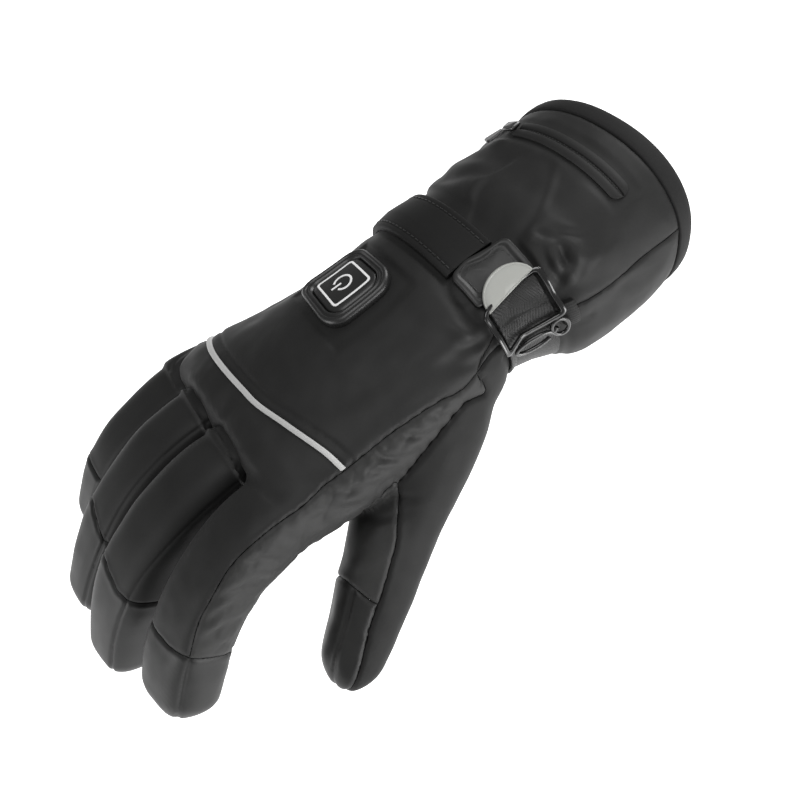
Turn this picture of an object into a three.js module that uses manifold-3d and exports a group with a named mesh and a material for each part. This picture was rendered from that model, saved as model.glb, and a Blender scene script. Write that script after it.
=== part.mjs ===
// A padded, heated winter glove for the right hand, held in the pose that a relaxed hand gives it.
// The forearm leaves along +X, the back of the hand faces +Z and the thumb is on the -Y side.
// The origin is the middle of the wrist, under the strap. Lengths are in millimetres, angles in degrees.
//
// Everything is modelled in the hand's own frame, which the last group turns into the frame above:
// x is the reach, from the wrist towards the fingertips, y is the side, towards the thumb, and z is
// the rise, out of the back of the hand. An angle round a section starts at the thumb side (0) and
// goes over the back (90) to the little finger's side (180) and the palm (270, or -90).
import * as THREE from 'three';
import { mergeVertices } from 'three/addons/utils/BufferGeometryUtils.js';
import Module from 'manifold-3d';

const wasm = await Module();
wasm.setup();

// Driving dimensions
const gap = 0.3;
const seat = 0.5;
const shellWall = 4;

const cuffLength = 70;
const cuffWidth = 88;
const cuffDepth = 70;
const rimSlant = 21;
const rimSkew = 10;
const bindingWidth = 6.5;
const bindingProud = 0.7;
const bindingEdge = 1;

const handLength = 104;
const handWidth = 104;
const handDepth = 44;
const wristFlexion = 14;
const wristDeviation = 9;
const wristBendLength = 45;
const knuckleRound = 9;

const fingerWidth = 26;
const fingerRootInset = 26;
const fingerTipRound = 10;
const indexLength = 88;
const middleLength = 94;
const ringLength = 89;
const littleLength = 75;
const thumbWidth = 29;
const thumbLength = 69;
const thumbRootInset = 40;
const thumbFirstShare = -0.7;
const thumbTipRound = 12;

// How the cuff's section changes from the wrist to the rim: shares of the cuff's own sizes.
const cuffSections = [
  { at: 0.0, width: 0.852, back: 0.386, palm: 0.402, lean: 0.0, rise: 0.0, square: 2.2, slant: 0.0 },
  { at: 0.18, width: 0.89, back: 0.42, palm: 0.45, lean: 0.025, rise: -0.02, square: 2.2, slant: 0.0 },
  { at: 0.36, width: 0.96, back: 0.475, palm: 0.49, lean: 0.045, rise: -0.03, square: 2.2, slant: 0.2 },
  { at: 0.65, width: 0.97, back: 0.49, palm: 0.49, lean: 0.05, rise: -0.03, square: 2.2, slant: 0.55 },
  { at: 1.0, width: 0.93, back: 0.465, palm: 0.465, lean: 0.035, rise: -0.02, square: 2.2, slant: 1.0 },
];

// The same from the wrist to the roots of the fingers: shares of the hand's own sizes. Roll is in degrees.
const handSections = [
  { at: 0.0, width: 0.72, back: 0.615, palm: 0.64, lean: 0.0, rise: 0.0, square: 2.2, roll: 0 },
  { at: 0.2, width: 0.77, back: 0.6, palm: 0.66, lean: 0.035, rise: -0.02, square: 2.25, roll: 0 },
  { at: 0.5, width: 0.86, back: 0.57, palm: 0.6, lean: 0.04, rise: 0.0, square: 2.3, roll: 2 },
  { at: 0.8, width: 0.97, back: 0.56, palm: 0.42, lean: 0.01, rise: 0.0, square: 2.5, roll: 6 },
  { at: 1.0, width: 1.0, back: 0.56, palm: 0.34, lean: 0.0, rise: 0.0, square: 2.6, roll: 8 },
];

// Soft folds and puffs of the padding. At is a share of the cuff's length where it is under zero, and of
// the hand's length over zero. Along and across are shares of the hand's width, and rise is a share of the
// wall. Angle and turn are in degrees.
const folds = [
  { at: -0.34, angle: 75, along: 0.067, across: 0.327, turn: 0, rise: 0.33 },
  { at: -0.29, angle: 28, along: 0.115, across: 0.048, turn: 25, rise: -0.4 },
  { at: -0.37, angle: 2, along: 0.115, across: 0.048, turn: -15, rise: -0.35 },
  { at: -0.43, angle: 14, along: 0.115, across: 0.067, turn: 10, rise: 0.35 },
  { at: -0.69, angle: 27, along: 0.058, across: 0.115, turn: 15, rise: -0.25 },
  { at: -0.86, angle: 20, along: 0.048, across: 0.115, turn: -10, rise: 0.25 },
  { at: -0.54, angle: 110, along: 0.087, across: 0.154, turn: 20, rise: -0.2 },
  { at: 0.14, angle: 75, along: 0.058, across: 0.212, turn: -20, rise: 0.25 },
  { at: 0.16, angle: 38, along: 0.135, across: 0.048, turn: 20, rise: -0.35 },
  { at: 0.25, angle: 52, along: 0.135, across: 0.058, turn: 30, rise: 0.25 },
  { at: 0.48, angle: 62, along: 0.135, across: 0.077, turn: 20, rise: -0.2 },
  { at: 0.58, angle: 105, along: 0.115, across: 0.154, turn: 0, rise: 0.23 },
  { at: 0.63, angle: 140, along: 0.096, across: 0.077, turn: -30, rise: -0.2 },
  { at: 0.9, angle: 80, along: 0.058, across: 0.115, turn: 0, rise: 0.23 },
  { at: 0.89, angle: 112, along: 0.058, across: 0.087, turn: 0, rise: 0.23 },
  { at: 0.88, angle: 97, along: 0.087, across: 0.048, turn: 0, rise: -0.2 },
  { at: -0.5, angle: 200, along: 0.115, across: 0.096, turn: 0, rise: -0.25 },
  { at: 0.29, angle: 250, along: 0.077, across: 0.231, turn: 0, rise: -0.25 },
];

// Fingers, from the thumb side. Root, side and rise are shares of the hand's length, width and depth, and
// thick, deep and seamBack of the finger's width. Cap is a share of the finger's own length. Splay, tilt,
// roll and the three bends are in degrees.
const fingers = [
  { name: 'index', length: indexLength, root: 0.968, side: 0.346, rise: 0.168, thick: 1.13, deep: 1.02,
    cap: 0.364, seamBack: 0, splay: 4, tilt: -6, roll: 4, bends: [28, 22, 8] },
  { name: 'middle', length: middleLength, root: 1.054, side: 0.07, rise: 0.235, thick: 1.04, deep: 1.02,
    cap: 0.457, seamBack: 0.23, splay: 0, tilt: 2, roll: -1, bends: [24, 26, 11] },
  { name: 'ring', length: ringLength, root: 1.02, side: -0.178, rise: 0.125, thick: 0.93, deep: 0.97,
    cap: 0.472, seamBack: 0.19, splay: -3, tilt: 3, roll: 3, bends: [24, 18, 7] },
  { name: 'little', length: littleLength, root: 0.95, side: -0.385, rise: -0.08, thick: 0.88, deep: 0.89,
    cap: 0.4, seamBack: 0.115, splay: -5, tilt: 2.5, roll: -1, bends: [17, 28, 8] },
];
const thumb = { name: 'thumb', length: thumbLength, root: 0.3, side: 0.27, rise: -0.2, thick: 1, deep: 1,
  cap: 0.49, seamBack: 0.28, splay: 23, tilt: 24, roll: -130, bends: [-3, 0, 4] };

// How a finger's section changes from its root to its tip: shares of the finger's own width and depth.
const fingerTaper = [
  { at: -0.3, width: 0.78, back: 0.36, palm: 0.4, square: 2.6 },
  { at: 0.0, width: 1.0, back: 0.5, palm: 0.5, square: 3.0 },
  { at: 0.4, width: 1.0, back: 0.5, palm: 0.5, square: 3.0 },
  { at: 0.75, width: 0.98, back: 0.49, palm: 0.49, square: 3.0 },
  { at: 1.0, width: 0.9, back: 0.44, palm: 0.44, square: 2.8 },
];
const thumbTaper = [
  { at: -1.0, width: 0.9, back: 0.45, palm: 0.45, square: 2.2 },
  { at: -0.8, width: 1.25, back: 0.62, palm: 0.62, square: 2.2 },
  { at: -0.58, width: 1.4, back: 0.7, palm: 0.68, square: 2.2 },
  { at: -0.3, width: 1.35, back: 0.7, palm: 0.64, square: 2.2 },
  { at: 0.0, width: 1.2, back: 0.62, palm: 0.54, square: 2.2 },
  { at: 0.45, width: 1.0, back: 0.52, palm: 0.46, square: 2.4 },
  { at: 1.0, width: 0.78, back: 0.4, palm: 0.36, square: 2.6 },
];

// Seams of the hand: the angle round the section, along the hand's length.
const backSeam = [
  { at: 0.0, angle: 12 },
  { at: 0.1, angle: 8 },
  { at: 0.22, angle: 5 },
  { at: 0.31, angle: 20 },
  { at: 0.42, angle: 27 },
  { at: 0.69, angle: 27 },
  { at: 0.88, angle: 26 },
  { at: 1.05, angle: 24 },
];
const palmSeam = [
  { at: 0.2, angle: 4 },
  { at: 0.33, angle: -5 },
  { at: 0.4, angle: -10 },
  { at: 0.53, angle: -18 },
  { at: 0.75, angle: -42 },
  { at: 1.05, angle: -50 },
];
const gussetStart = 0.22;
const gussetIndexStart = 0.14;
const knuckleIndexStart = 0.2;
const seamLap = 6;
const seamLapWide = 8;
const pipingLap = 4;
const pipingLapWide = 2;
const ulnarLap = 3;
const ulnarLapWide = 6;
const ulnarSeam = 188;
const cuffSeam = 15;

// Seams of the index finger and the thumb: angles round the finger, along its free length.
const indexSeams = [
  { at: -0.1, back: 40, palm: -40, far: 146 },
  { at: 0.2, back: 48, palm: -42, far: 140 },
  { at: 0.45, back: 44, palm: -42, far: 138 },
  { at: 0.65, back: 34, palm: -40, far: 138 },
];
const thumbSeams = [
  { at: -0.15, near: -4, far: 200 },
  { at: 0.05, near: 0, far: 187 },
  { at: 0.3, near: 4, far: 178 },
  { at: 0.65, near: 8, far: 168 },
  { at: 1.0, near: 12, far: 152 },
];

// Piping across the knuckles: its reach in shares of the hand's length, at each angle in degrees.
const pipingLine = [
  { at: 26, reach: 0.685 },
  { at: 45, reach: 0.7 },
  { at: 71, reach: 0.75 },
  { at: 91, reach: 0.795 },
  { at: 120, reach: 0.81 },
  { at: 150, reach: 0.79 },
  { at: 188, reach: 0.77 },
];
const pipingFrom = 29.4;
const pipingTo = 187;
const pipingWidth = 3.6;
const pipingProud = 0.9;
const pipingDepth = 2;

// Strap, buckle and webbing round the wrist. Centres are reaches, ends are angles.
const strapWidth = 19.5;
const strapCentre = -2;
const strapThick = 2.6;
const strapBevel = 0.6;
const strapFrom = 198;
const strapTo = 75;
const patchWidth = 23;
const patchCentre = -4.5;
const patchThick = 2.4;
const patchCorner = 3;
const patchCornerTurn = 4;
const patchFrom = 72.5;
const patchTo = 47;
const plateThick = 1.2;
const plateRadius = 9.6;
const plateTurn = 11;
const plateClearTurn = 1.5;
const plateSeat = 0.8;
const buckleWidth = 25;
const buckleFrom = 52;
const buckleTo = 6;
const buckleBar = 3;
const buckleBarTurn = 4.5;
const buckleCorner = 2;
const buckleCornerTurn = 3;
const buckleThick = 2.6;
const windowCut = 4;
const webbingWidth = 18;
const webbingFrom = 45.5;
const webbingTo = -75;
const webbingThick = 1.8;
const webbingSeat = 0.7;
const webbingBevel = 0.4;

// Button on the back of the hand
const buttonReach = 32;
const buttonAngle = 111;
const buttonSize = 27;
const buttonRadius = 40;
const buttonRound = 0.25;
const buttonThick = 3.6;
const buttonFloor = 0.5;
const buttonSink = 1;
const buttonRim = 3;
const baseBevel = 0.93;
const faceBevel = 0.95;
const lightSize = 14;
const lightLine = 1;
const lightRound = 0.14;
const printThick = 0.4;
const markSize = 7;
const markOpening = 32;

// Zipped pocket across the cuff
const pocketReach = -50.3;
const pocketWidth = 7;
const pocketFrom = 53;
const pocketTo = 124;
const pocketThick = 1.3;
const pocketBevel = 0.6;
const zipSlot = 1.6;
const sliderTurn = 6;
const sliderWidth = 5;
const sliderLength = 7;
const sliderThick = 2;
const pullLength = 8;
const pullNarrow = 2.8;
const pullWide = 4.4;
const pullThick = 1.2;
const pullTurn = -112;

// Clip at the side of the wrist
const loopReach = -21;
const loopWidth = 6;
const loopFrom = 20;
const loopTo = 4;
const loopThick = 2.2;
const clipReach = -12;
const clipAngle = -6;
const clipRod = 1.3;
const clipRing = 4.4;
const clipHook = 5;
const hookFrom = -60;
const hookTo = 200;

// How finely the meshes are divided
const sleevePoints = 30;
const hollowPoints = 18;
const fingerPoints = 14;
const fingerHollowPoints = 8;
const fingerSteps = 7;
const shellTolerance = 0.2;
const fittingTolerance = 0.01;

const radians = THREE.MathUtils.degToRad;
const { clamp } = THREE.MathUtils;

/** Reads every column of a table at one place, on a smooth curve through its rows. */
function readTable(rows, at) {
  const last = rows.length - 1;
  const found = rows.findIndex((row) => row.at > at);
  const k = clamp((found < 0 ? last : found) - 1, 0, last - 1);
  const [before, from, to, after] = [k - 1, k, k + 1, k + 2].map((i) => rows[clamp(i, 0, last)]);
  const span = to.at - from.at;
  const t = clamp((at - from.at) / span, 0, 1);
  const read = {};
  for (const column of Object.keys(from)) {
    if (typeof from[column] !== 'number') continue;
    const slopeFrom = (to[column] - before[column]) / Math.max(to.at - before.at, span);
    const slopeTo = (after[column] - from[column]) / Math.max(after.at - from.at, span);
    read[column] =
      from[column] * (2 * t ** 3 - 3 * t ** 2 + 1) + to[column] * (3 * t ** 2 - 2 * t ** 3) +
      span * (slopeFrom * (t ** 3 - 2 * t ** 2 + t) + slopeTo * (t ** 3 - t ** 2));
  }
  return read;
}

const sideAxis = new THREE.Vector3(0, 1, 0);
const reachAxis = new THREE.Vector3(1, 0, 0);
const move = (x, y, z) => new THREE.Matrix4().makeTranslation(x, y, z);
const turnX = (degrees) => new THREE.Matrix4().makeRotationX(radians(degrees));
const turnY = (degrees) => new THREE.Matrix4().makeRotationY(radians(degrees));
const turnZ = (degrees) => new THREE.Matrix4().makeRotationZ(radians(degrees));

/** The frame made by following one frame with others. */
function chain(first, ...others) {
  return others.reduce((frame, next) => frame.multiply(next), first.clone());
}

/** The frame reached by walking a distance along a chain of arcs from a start frame. */
function walk(start, arcs, distance) {
  const frame = start.clone();
  let left = distance;
  for (const [i, arc] of arcs.entries()) {
    const step = i === arcs.length - 1 ? left : Math.min(left, arc.length);
    const turned = (radians(arc.turn) * step) / arc.length;
    const axis = arc.axis ?? sideAxis;
    const inward = new THREE.Vector3().crossVectors(axis, reachAxis);
    const radius = Math.abs(turned) < 1e-9 ? 0 : step / turned;
    const along = radius
      ? inward.multiplyScalar(radius * (1 - Math.cos(turned))).setX(radius * Math.sin(turned))
      : new THREE.Vector3(step, 0, 0);
    frame.multiply(new THREE.Matrix4().makeTranslation(along));
    frame.multiply(new THREE.Matrix4().makeRotationAxis(axis, turned));
    left -= step;
    if (left <= 0) break;
  }
  return frame;
}

/** A section in millimetres, from a table's shares of a width and a depth. */
function sectionOf(row, width, depth) {
  return {
    half: (row.width * width) / 2,
    back: row.back * depth,
    palm: row.palm * depth,
    lean: (row.lean ?? 0) * width,
    rise: (row.rise ?? 0) * depth,
    roll: radians(row.roll ?? 0),
    square: row.square,
  };
}

const handArcs = [
  { length: wristBendLength, turn: Math.hypot(wristFlexion, wristDeviation),
    axis: new THREE.Vector3(0, wristFlexion, -wristDeviation).normalize() },
  { length: handLength, turn: 0 },
];

const cuffSectionAt = (row) => sectionOf(row, cuffWidth, cuffDepth);
const handSectionAt = (row) => sectionOf(row, handWidth, handDepth);
const wristOfCuff = cuffSectionAt(cuffSections[0]);
const wristOfHand = handSectionAt(handSections[0]);

/** The hand's section at a reach, eased along the wrist's bend so that it starts as wide as the cuff ends. */
function easedHandSection(reach) {
  const section = handSectionAt(readTable(handSections, reach / handLength));
  const ease = 1 - THREE.MathUtils.smoothstep(reach, 0, wristBendLength);
  for (const size of ['half', 'back', 'palm']) {
    section[size] += ease * (wristOfCuff[size] - wristOfHand[size]);
  }
  return section;
}

/** The sleeve's frame and section at a reach: under zero on the cuff, over zero on the hand. */
function sleeveAt(reach) {
  if (reach < 0) {
    const row = readTable(cuffSections, -reach / cuffLength);
    const frame = chain(move(reach, 0, 0), turnY(-rimSlant * row.slant), turnZ(rimSkew * row.slant));
    return { frame, section: cuffSectionAt(row) };
  }
  return { frame: walk(new THREE.Matrix4(), handArcs, reach), section: easedHandSection(reach) };
}

/** The point at an angle (in radians) round a section, grown outwards by a distance. */
function sectionPoint(frame, section, angle, grow = 0) {
  const c = Math.cos(angle);
  const s = Math.sin(angle);
  const power = 2 / section.square;
  const y = (section.half + grow) * Math.sign(c) * Math.abs(c) ** power;
  const z = ((s >= 0 ? section.back : section.palm) + grow) * Math.sign(s) * Math.abs(s) ** power;
  const rollCos = Math.cos(section.roll);
  const rollSin = Math.sin(section.roll);
  const side = section.lean + y * rollCos - z * rollSin;
  const rise = section.rise + y * rollSin + z * rollCos;
  return new THREE.Vector3(0, side, rise).applyMatrix4(frame);
}

/** How far the folds lift the sleeve's surface at a reach and an angle in degrees. */
function reliefAt(reach, angle) {
  return folds.reduce((sum, fold) => {
    const turned = THREE.MathUtils.euclideanModulo(angle - fold.angle + 180, 360) - 180;
    const u = reach - fold.at * (fold.at < 0 ? cuffLength : handLength);
    const v = (radians(turned) * (cuffWidth + cuffDepth)) / 4;
    const c = Math.cos(radians(fold.turn));
    const s = Math.sin(radians(fold.turn));
    const along = (u * c + v * s) / (fold.along * handWidth);
    const across = (v * c - u * s) / (fold.across * handWidth);
    return sum + fold.rise * shellWall * Math.exp(-(along ** 2) - across ** 2);
  }, 0);
}

/** A ring of points round the sleeve's outside, following its folds. */
function sleeveRing(reach, points, grow = 0) {
  const { frame, section } = sleeveAt(reach);
  return Array.from({ length: points }, (_, i) => {
    const angle = (360 * i) / points;
    return sectionPoint(frame, section, radians(angle), grow + reliefAt(reach, angle));
  });
}

/** A ring of points round a section. */
function ringAt(frame, section, points, grow = 0) {
  return Array.from({ length: points }, (_, i) =>
    sectionPoint(frame, section, (2 * Math.PI * i) / points, grow));
}

/** A manifold solid from points and triangles, turned the right way out. */
function solidOf(vertices, faces) {
  const make = (list) => new wasm.Manifold(new wasm.Mesh({
    numProp: 3,
    vertProperties: Float32Array.from(vertices.flatMap((v) => [v.x, v.y, v.z])),
    triVerts: Uint32Array.from(list.flat()),
  }));
  const made = make(faces);
  return made.volume() < 0 ? make(faces.map(([a, b, c]) => [a, c, b])) : made;
}

/** A closed solid from rings that follow each other along the reach, with flat ends. */
function loft(rings) {
  const points = rings[0].length;
  const faces = [];
  rings.slice(1).forEach((_, i) => {
    for (let j = 0; j < points; j++) {
      const a = i * points + j;
      const b = i * points + ((j + 1) % points);
      faces.push([a, b, a + points], [b, b + points, a + points]);
    }
  });
  const vertices = rings.flat();
  const ends = [[rings[0], 0], [rings[rings.length - 1], vertices.length - points]];
  ends.forEach(([ring, first], end) => {
    const middle = vertices.length;
    vertices.push(ring.reduce((sum, p) => sum.add(p), new THREE.Vector3()).divideScalar(points));
    for (let j = 0; j < points; j++) {
      const a = first + j;
      const b = first + ((j + 1) % points);
      faces.push(end ? [middle, a, b] : [middle, b, a]);
    }
  });
  return solidOf(vertices, faces);
}

/** A solid from a three.js geometry placed by a frame. */
function solidFrom(geometry, frame = new THREE.Matrix4()) {
  const plain = geometry.clone().applyMatrix4(frame);
  plain.deleteAttribute('normal');
  plain.deleteAttribute('uv');
  const merged = mergeVertices(plain, 1e-4);
  const at = merged.getAttribute('position');
  const index = merged.getIndex().array;
  const vertices = Array.from({ length: at.count }, (_, i) => new THREE.Vector3().fromBufferAttribute(at, i));
  const faces = Array.from({ length: index.length / 3 }, (_, i) => Array.from(index.slice(3 * i, 3 * i + 3)));
  return solidOf(vertices, faces);
}

const steps = (from, to, count) =>
  Array.from({ length: count + 1 }, (_, i) => from + ((to - from) * i) / count);
const largest = (solid) => solid.decompose().reduce((a, b) => (b.volume() > a.volume() ? b : a));
const wholeSolid = (solids) => solids.reduce((sum, solid) => sum.add(solid));

/** The sleeve's outside between two reaches, with its folds. */
function sleeveSolid(from, to, count, points) {
  return loft(steps(from, to, count).map((reach) => sleeveRing(reach, points)));
}

/** The smooth hollow inside the sleeve between two reaches. */
function sleeveHollow(from, to, count, points) {
  return loft(steps(from, to, count).map((reach) => {
    const { frame, section } = sleeveAt(reach);
    return ringAt(frame, section, points, -shellWall);
  }));
}

/** The hand from a reach to its rounded end between the fingers: its outside, or its hollow if shrunk. */
function handSolid(from, count, points, grow = 0) {
  const straight = handLength - knuckleRound;
  const rings = steps(from, straight, count).map((reach) => {
    const { frame, section } = sleeveAt(reach);
    return grow < 0 ? ringAt(frame, section, points, grow) : sleeveRing(reach, points);
  });
  for (const share of [0.5, 0.8, 0.96]) {
    const { frame, section } = sleeveAt(straight + share * knuckleRound);
    const shrink = Math.sqrt(1 - share ** 2);
    const small = { ...section, back: section.back * shrink, palm: section.palm * shrink };
    rings.push(ringAt(frame, small, points, grow * shrink));
  }
  return loft(rings);
}

/** One ring of a sector: the section's middle, then far points out from its edge. */
function sectorRing(frame, section, startAngle, endAngle) {
  const middle = new THREE.Vector3(0, section.lean, section.rise).applyMatrix4(frame);
  const out = steps(startAngle, endAngle, 6).map((angle) =>
    sectionPoint(frame, section, radians(angle)).sub(middle).multiplyScalar(1.8).add(middle));
  return [middle, ...out];
}

/** A block of space round the sleeve between two angles, for dividing the shell into panels. */
function sleeveSector(from, to, count, startAt, endAt, widen = 0) {
  return loft(steps(from, to, count).map((reach) => {
    const { frame, section } = sleeveAt(reach);
    return sectorRing(frame, section, startAt(reach) - widen, endAt(reach) + widen);
  }));
}

/** The start frame of a finger's or the thumb's path, set back from its root into the hand. */
function fingerStart(finger, setBack) {
  const { frame } = sleeveAt(finger.root * handLength - setBack);
  return chain(frame, move(0, finger.side * handWidth, finger.rise * handDepth),
    turnZ(finger.splay), turnY(finger.tilt), turnX(finger.roll));
}

/** Everything about one finger that its solids share. */
function fingerPath(finger, start, inset, taper, width, tipRound) {
  const [knuckle, middleJoint, endJoint] = finger.bends;
  const arcs = [
    { length: inset, turn: 0 },
    { length: 0.34 * finger.length, turn: knuckle },
    { length: 0.32 * finger.length, turn: middleJoint },
    { length: 0.34 * finger.length, turn: endJoint },
  ];
  const at = (distance) => {
    const row = readTable(taper, (distance - inset) / finger.length);
    return {
      frame: distance < 0 ? chain(start, move(distance, 0, 0)) : walk(start, arcs, distance),
      section: sectionOf(row, width * finger.thick, width * finger.deep),
    };
  };
  const total = inset + finger.length;
  const root = inset - finger.seamBack * width;
  const cap = total - finger.cap * finger.length;
  return { ...finger, inset, total, tipRound, root, cap, at };
}

/** A finger from a distance along its path to its tip, grown or shrunk. */
function fingerSolid(path, from, count, points, grow = 0) {
  const end = path.total + grow;
  const rings = steps(from, end - path.tipRound, count).map((distance) => {
    const { frame, section } = path.at(distance);
    return ringAt(frame, section, points, grow);
  });
  for (const share of grow < 0 ? [0.65, 0.95] : [0.5, 0.82, 0.97]) {
    const { frame, section } = path.at(end - path.tipRound + share * path.tipRound);
    const shrink = Math.sqrt(1 - share ** 2);
    const small = { ...section, half: section.half * shrink, back: section.back * shrink,
      palm: section.palm * shrink };
    rings.push(ringAt(frame, small, points, grow * shrink));
  }
  return loft(rings);
}

const reachFar = 400;

/** All of space in front of a frame. */
function spaceBeyond(frame) {
  return solidFrom(new THREE.BoxGeometry(reachFar, reachFar, reachFar),
    chain(frame, move(reachFar / 2, 0, 0)));
}

/** A mesh for one named sub-part. */
function subPart(name, solid, material, tolerance) {
  const made = solid.simplify(tolerance).getMesh();
  const geometry = new THREE.BufferGeometry();
  geometry.setAttribute('position', new THREE.BufferAttribute(new Float32Array(made.vertProperties), 3));
  geometry.setIndex(new THREE.BufferAttribute(new Uint32Array(made.triVerts), 1));
  const mesh = new THREE.Mesh(geometry, material);
  mesh.name = name;
  return mesh;
}

/** A point on the sleeve's surface at a reach and an angle in degrees, lifted off it. */
function onSleeve(reach, angle, lift) {
  const { frame, section } = sleeveAt(reach);
  return sectionPoint(frame, section, radians(angle), lift + reliefAt(reach, angle));
}

/** A strip wrapped round the sleeve: the same profile of [across, lift] pairs at each angle. */
function wrappedStrip(angles, centreAt, profile) {
  return loft(angles.map((angle) =>
    profile.map(([across, lift]) => onSleeve(centreAt(angle) + across, angle, lift))));
}

/** A flat strap's profile with bevelled upper edges. */
function strapProfile(width, low, high, bevel) {
  const half = width / 2;
  return [[-half, low], [0, low], [half, low], [half, high - bevel], [half - bevel, high], [0, high],
    [bevel - half, high], [-half, high - bevel]];
}

/** A plate wrapped on the sleeve: an outline of [reach, angle] pairs and layers of [share, lift] pairs. */
function wrappedPlate(outline, layers) {
  const middle = [0, 1].map((k) => outline.reduce((sum, p) => sum + p[k], 0) / outline.length);
  return loft(layers.map(([share, lift]) => outline.map((p) =>
    onSleeve(middle[0] + (p[0] - middle[0]) * share, middle[1] + (p[1] - middle[1]) * share, lift))));
}

/** A rounded rectangle's outline as [reach, angle] pairs: width is along the reach, turn is round it. */
function roundedOutline({ reach, angle, width, turn, corner, cornerTurn, perSide = 1, perCorner = 2 }) {
  const corners = [[1, 1, 0], [-1, 1, 90], [-1, -1, 180], [1, -1, 270]].map(([u, v, start]) =>
    steps(start, start + 90, perCorner).map((degrees) => [
      reach + u * (width / 2 - corner) + corner * Math.cos(radians(degrees)),
      angle + v * (turn / 2 - cornerTurn) + cornerTurn * Math.sin(radians(degrees)),
    ]));
  return corners.flatMap((points, k) => {
    const from = points[points.length - 1];
    const [to] = corners[(k + 1) % 4];
    const side = steps(0, 1, perSide).slice(1, -1);
    return [...points, ...side.map((share) => [0, 1].map((c) => from[c] + (to[c] - from[c]) * share))];
  });
}

/** The layers of a rim between two lifts, with a bevelled top, whose middle is cut out. */
function rimLayers(low, high, bevelShare = 0.97) {
  const shoulder = high - Math.min(0.6, (high - low) * 0.4);
  return [[0.6, low], [1, low], [1, shoulder], [bevelShare, high], [0.6, high]];
}

/** The layers of a flat plate or cutter with square edges. */
const flatLayers = (low, high) => [[0.5, low], [1, low], [1, high], [0.5, high]];

/** The layers of a whole plate, which follow the surface over its middle too. */
function plateLayers(low, high, bevelShare) {
  return [[0.3, low], ...rimLayers(low, high, bevelShare), [0.3, high]];
}

/** A frame lying on the sleeve: x along the reach, y down the angle, z outwards. */
function frameOn(reach, angle, lift) {
  const middle = onSleeve(reach, angle, lift);
  const ahead = onSleeve(reach + 2, angle, lift).sub(middle);
  const down = onSleeve(reach, angle - 2, lift).sub(middle).normalize();
  const up = new THREE.Vector3().crossVectors(ahead, down).normalize();
  const along = new THREE.Vector3().crossVectors(down, up);
  return new THREE.Matrix4().makeBasis(along, down, up).setPosition(middle);
}

/** A rod bent round part of a circle in a frame's own plane. */
function bentRod(frame, radius, rod, fromTurn, toTurn, count) {
  return loft(steps(radians(fromTurn), radians(toTurn), count).map((turn) =>
    Array.from({ length: 6 }, (_, i) => {
      const a = (Math.PI * i) / 3;
      const out = radius + rod * Math.cos(a);
      return new THREE.Vector3(out * Math.cos(turn), out * Math.sin(turn), rod * Math.sin(a))
        .applyMatrix4(frame);
    })));
}

const shellFabric = new THREE.MeshStandardMaterial({ color: 0x2b2b2b, roughness: 0.7, metalness: 0 });
const palmLeather = new THREE.MeshStandardMaterial({ color: 0x242424, roughness: 0.55, metalness: 0 });
const capLeather = new THREE.MeshStandardMaterial({ color: 0x3a3a3a, roughness: 0.5, metalness: 0 });
const stretchPanel = new THREE.MeshStandardMaterial({ color: 0x333333, roughness: 0.75, metalness: 0 });
const edgeBinding = new THREE.MeshStandardMaterial({ color: 0x262626, roughness: 0.8, metalness: 0 });
const reflective = new THREE.MeshStandardMaterial({ color: 0xc4c4c4, roughness: 0.4, metalness: 0 });
const strapFabric = new THREE.MeshStandardMaterial({ color: 0x242424, roughness: 0.75, metalness: 0 });
const webbing = new THREE.MeshStandardMaterial({ color: 0x1f1f1f, roughness: 0.85, metalness: 0 });
const plastic = new THREE.MeshStandardMaterial({ color: 0x101010, roughness: 0.3, metalness: 0 });
const paleLabel = new THREE.MeshStandardMaterial({ color: 0xa8aaa4, roughness: 0.6, metalness: 0 });
const rubber = new THREE.MeshStandardMaterial({ color: 0x181818, roughness: 0.45, metalness: 0 });
const whitePrint = new THREE.MeshStandardMaterial({ color: 0xdcdcdc, roughness: 0.5, metalness: 0 });
const darkMetal = new THREE.MeshStandardMaterial({ color: 0x4c4c4c, roughness: 0.35, metalness: 1 });

const paths = fingers.map((finger) =>
  fingerPath(finger, fingerStart(finger, fingerRootInset), fingerRootInset, fingerTaper, fingerWidth,
    fingerTipRound));
const thumbPath = fingerPath(thumb, fingerStart(thumb, 0), thumbRootInset, thumbTaper, thumbWidth,
  thumbTipRound);
const [indexPath] = paths;
const thumbFirst = thumbFirstShare * thumbRootInset;

const glove = new THREE.Group();
const inHandFrame = new THREE.Group();
inHandFrame.rotation.z = Math.PI;
glove.add(inHandFrame);
const add = (name, solid, material, tolerance = shellTolerance) =>
  inHandFrame.add(subPart(name, solid, material, tolerance));
const addFitting = (name, solid, material) => add(name, solid, material, fittingTolerance);

// Room for the hand: one hollow through the cuff, the hand, the fingers and the thumb
const hollows = wholeSolid([
  sleeveHollow(-1.07 * cuffLength, 0, 5, hollowPoints),
  handSolid(-0.5, 4, hollowPoints, -shellWall),
  ...paths.map((path) => fingerSolid(path, path.inset * 0.3, 4, fingerHollowPoints, -shellWall)),
  fingerSolid(thumbPath, 0, 4, fingerHollowPoints, -shellWall),
]);

// Cuff: a back and a palm half, joined at the side seams, and the bound rim
const cuffShell = sleeveSolid(-cuffLength + bindingWidth + gap, -gap / 2, 7, sleevePoints).subtract(hollows);
const cuffSector = (from, to) => sleeveSector(-cuffLength - gap, gap, 6, () => from, () => to);
const sleeveGapTurn = THREE.MathUtils.radToDeg(gap / (cuffWidth / 2));
add('cuff_back', cuffShell.intersect(cuffSector(cuffSeam, cuffSeam + 180)), shellFabric);
const cuffBackRoom = cuffSector(cuffSeam - sleeveGapTurn, cuffSeam + 180 + sleeveGapTurn);
add('cuff_palm', cuffShell.subtract(cuffBackRoom), shellFabric);

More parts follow.
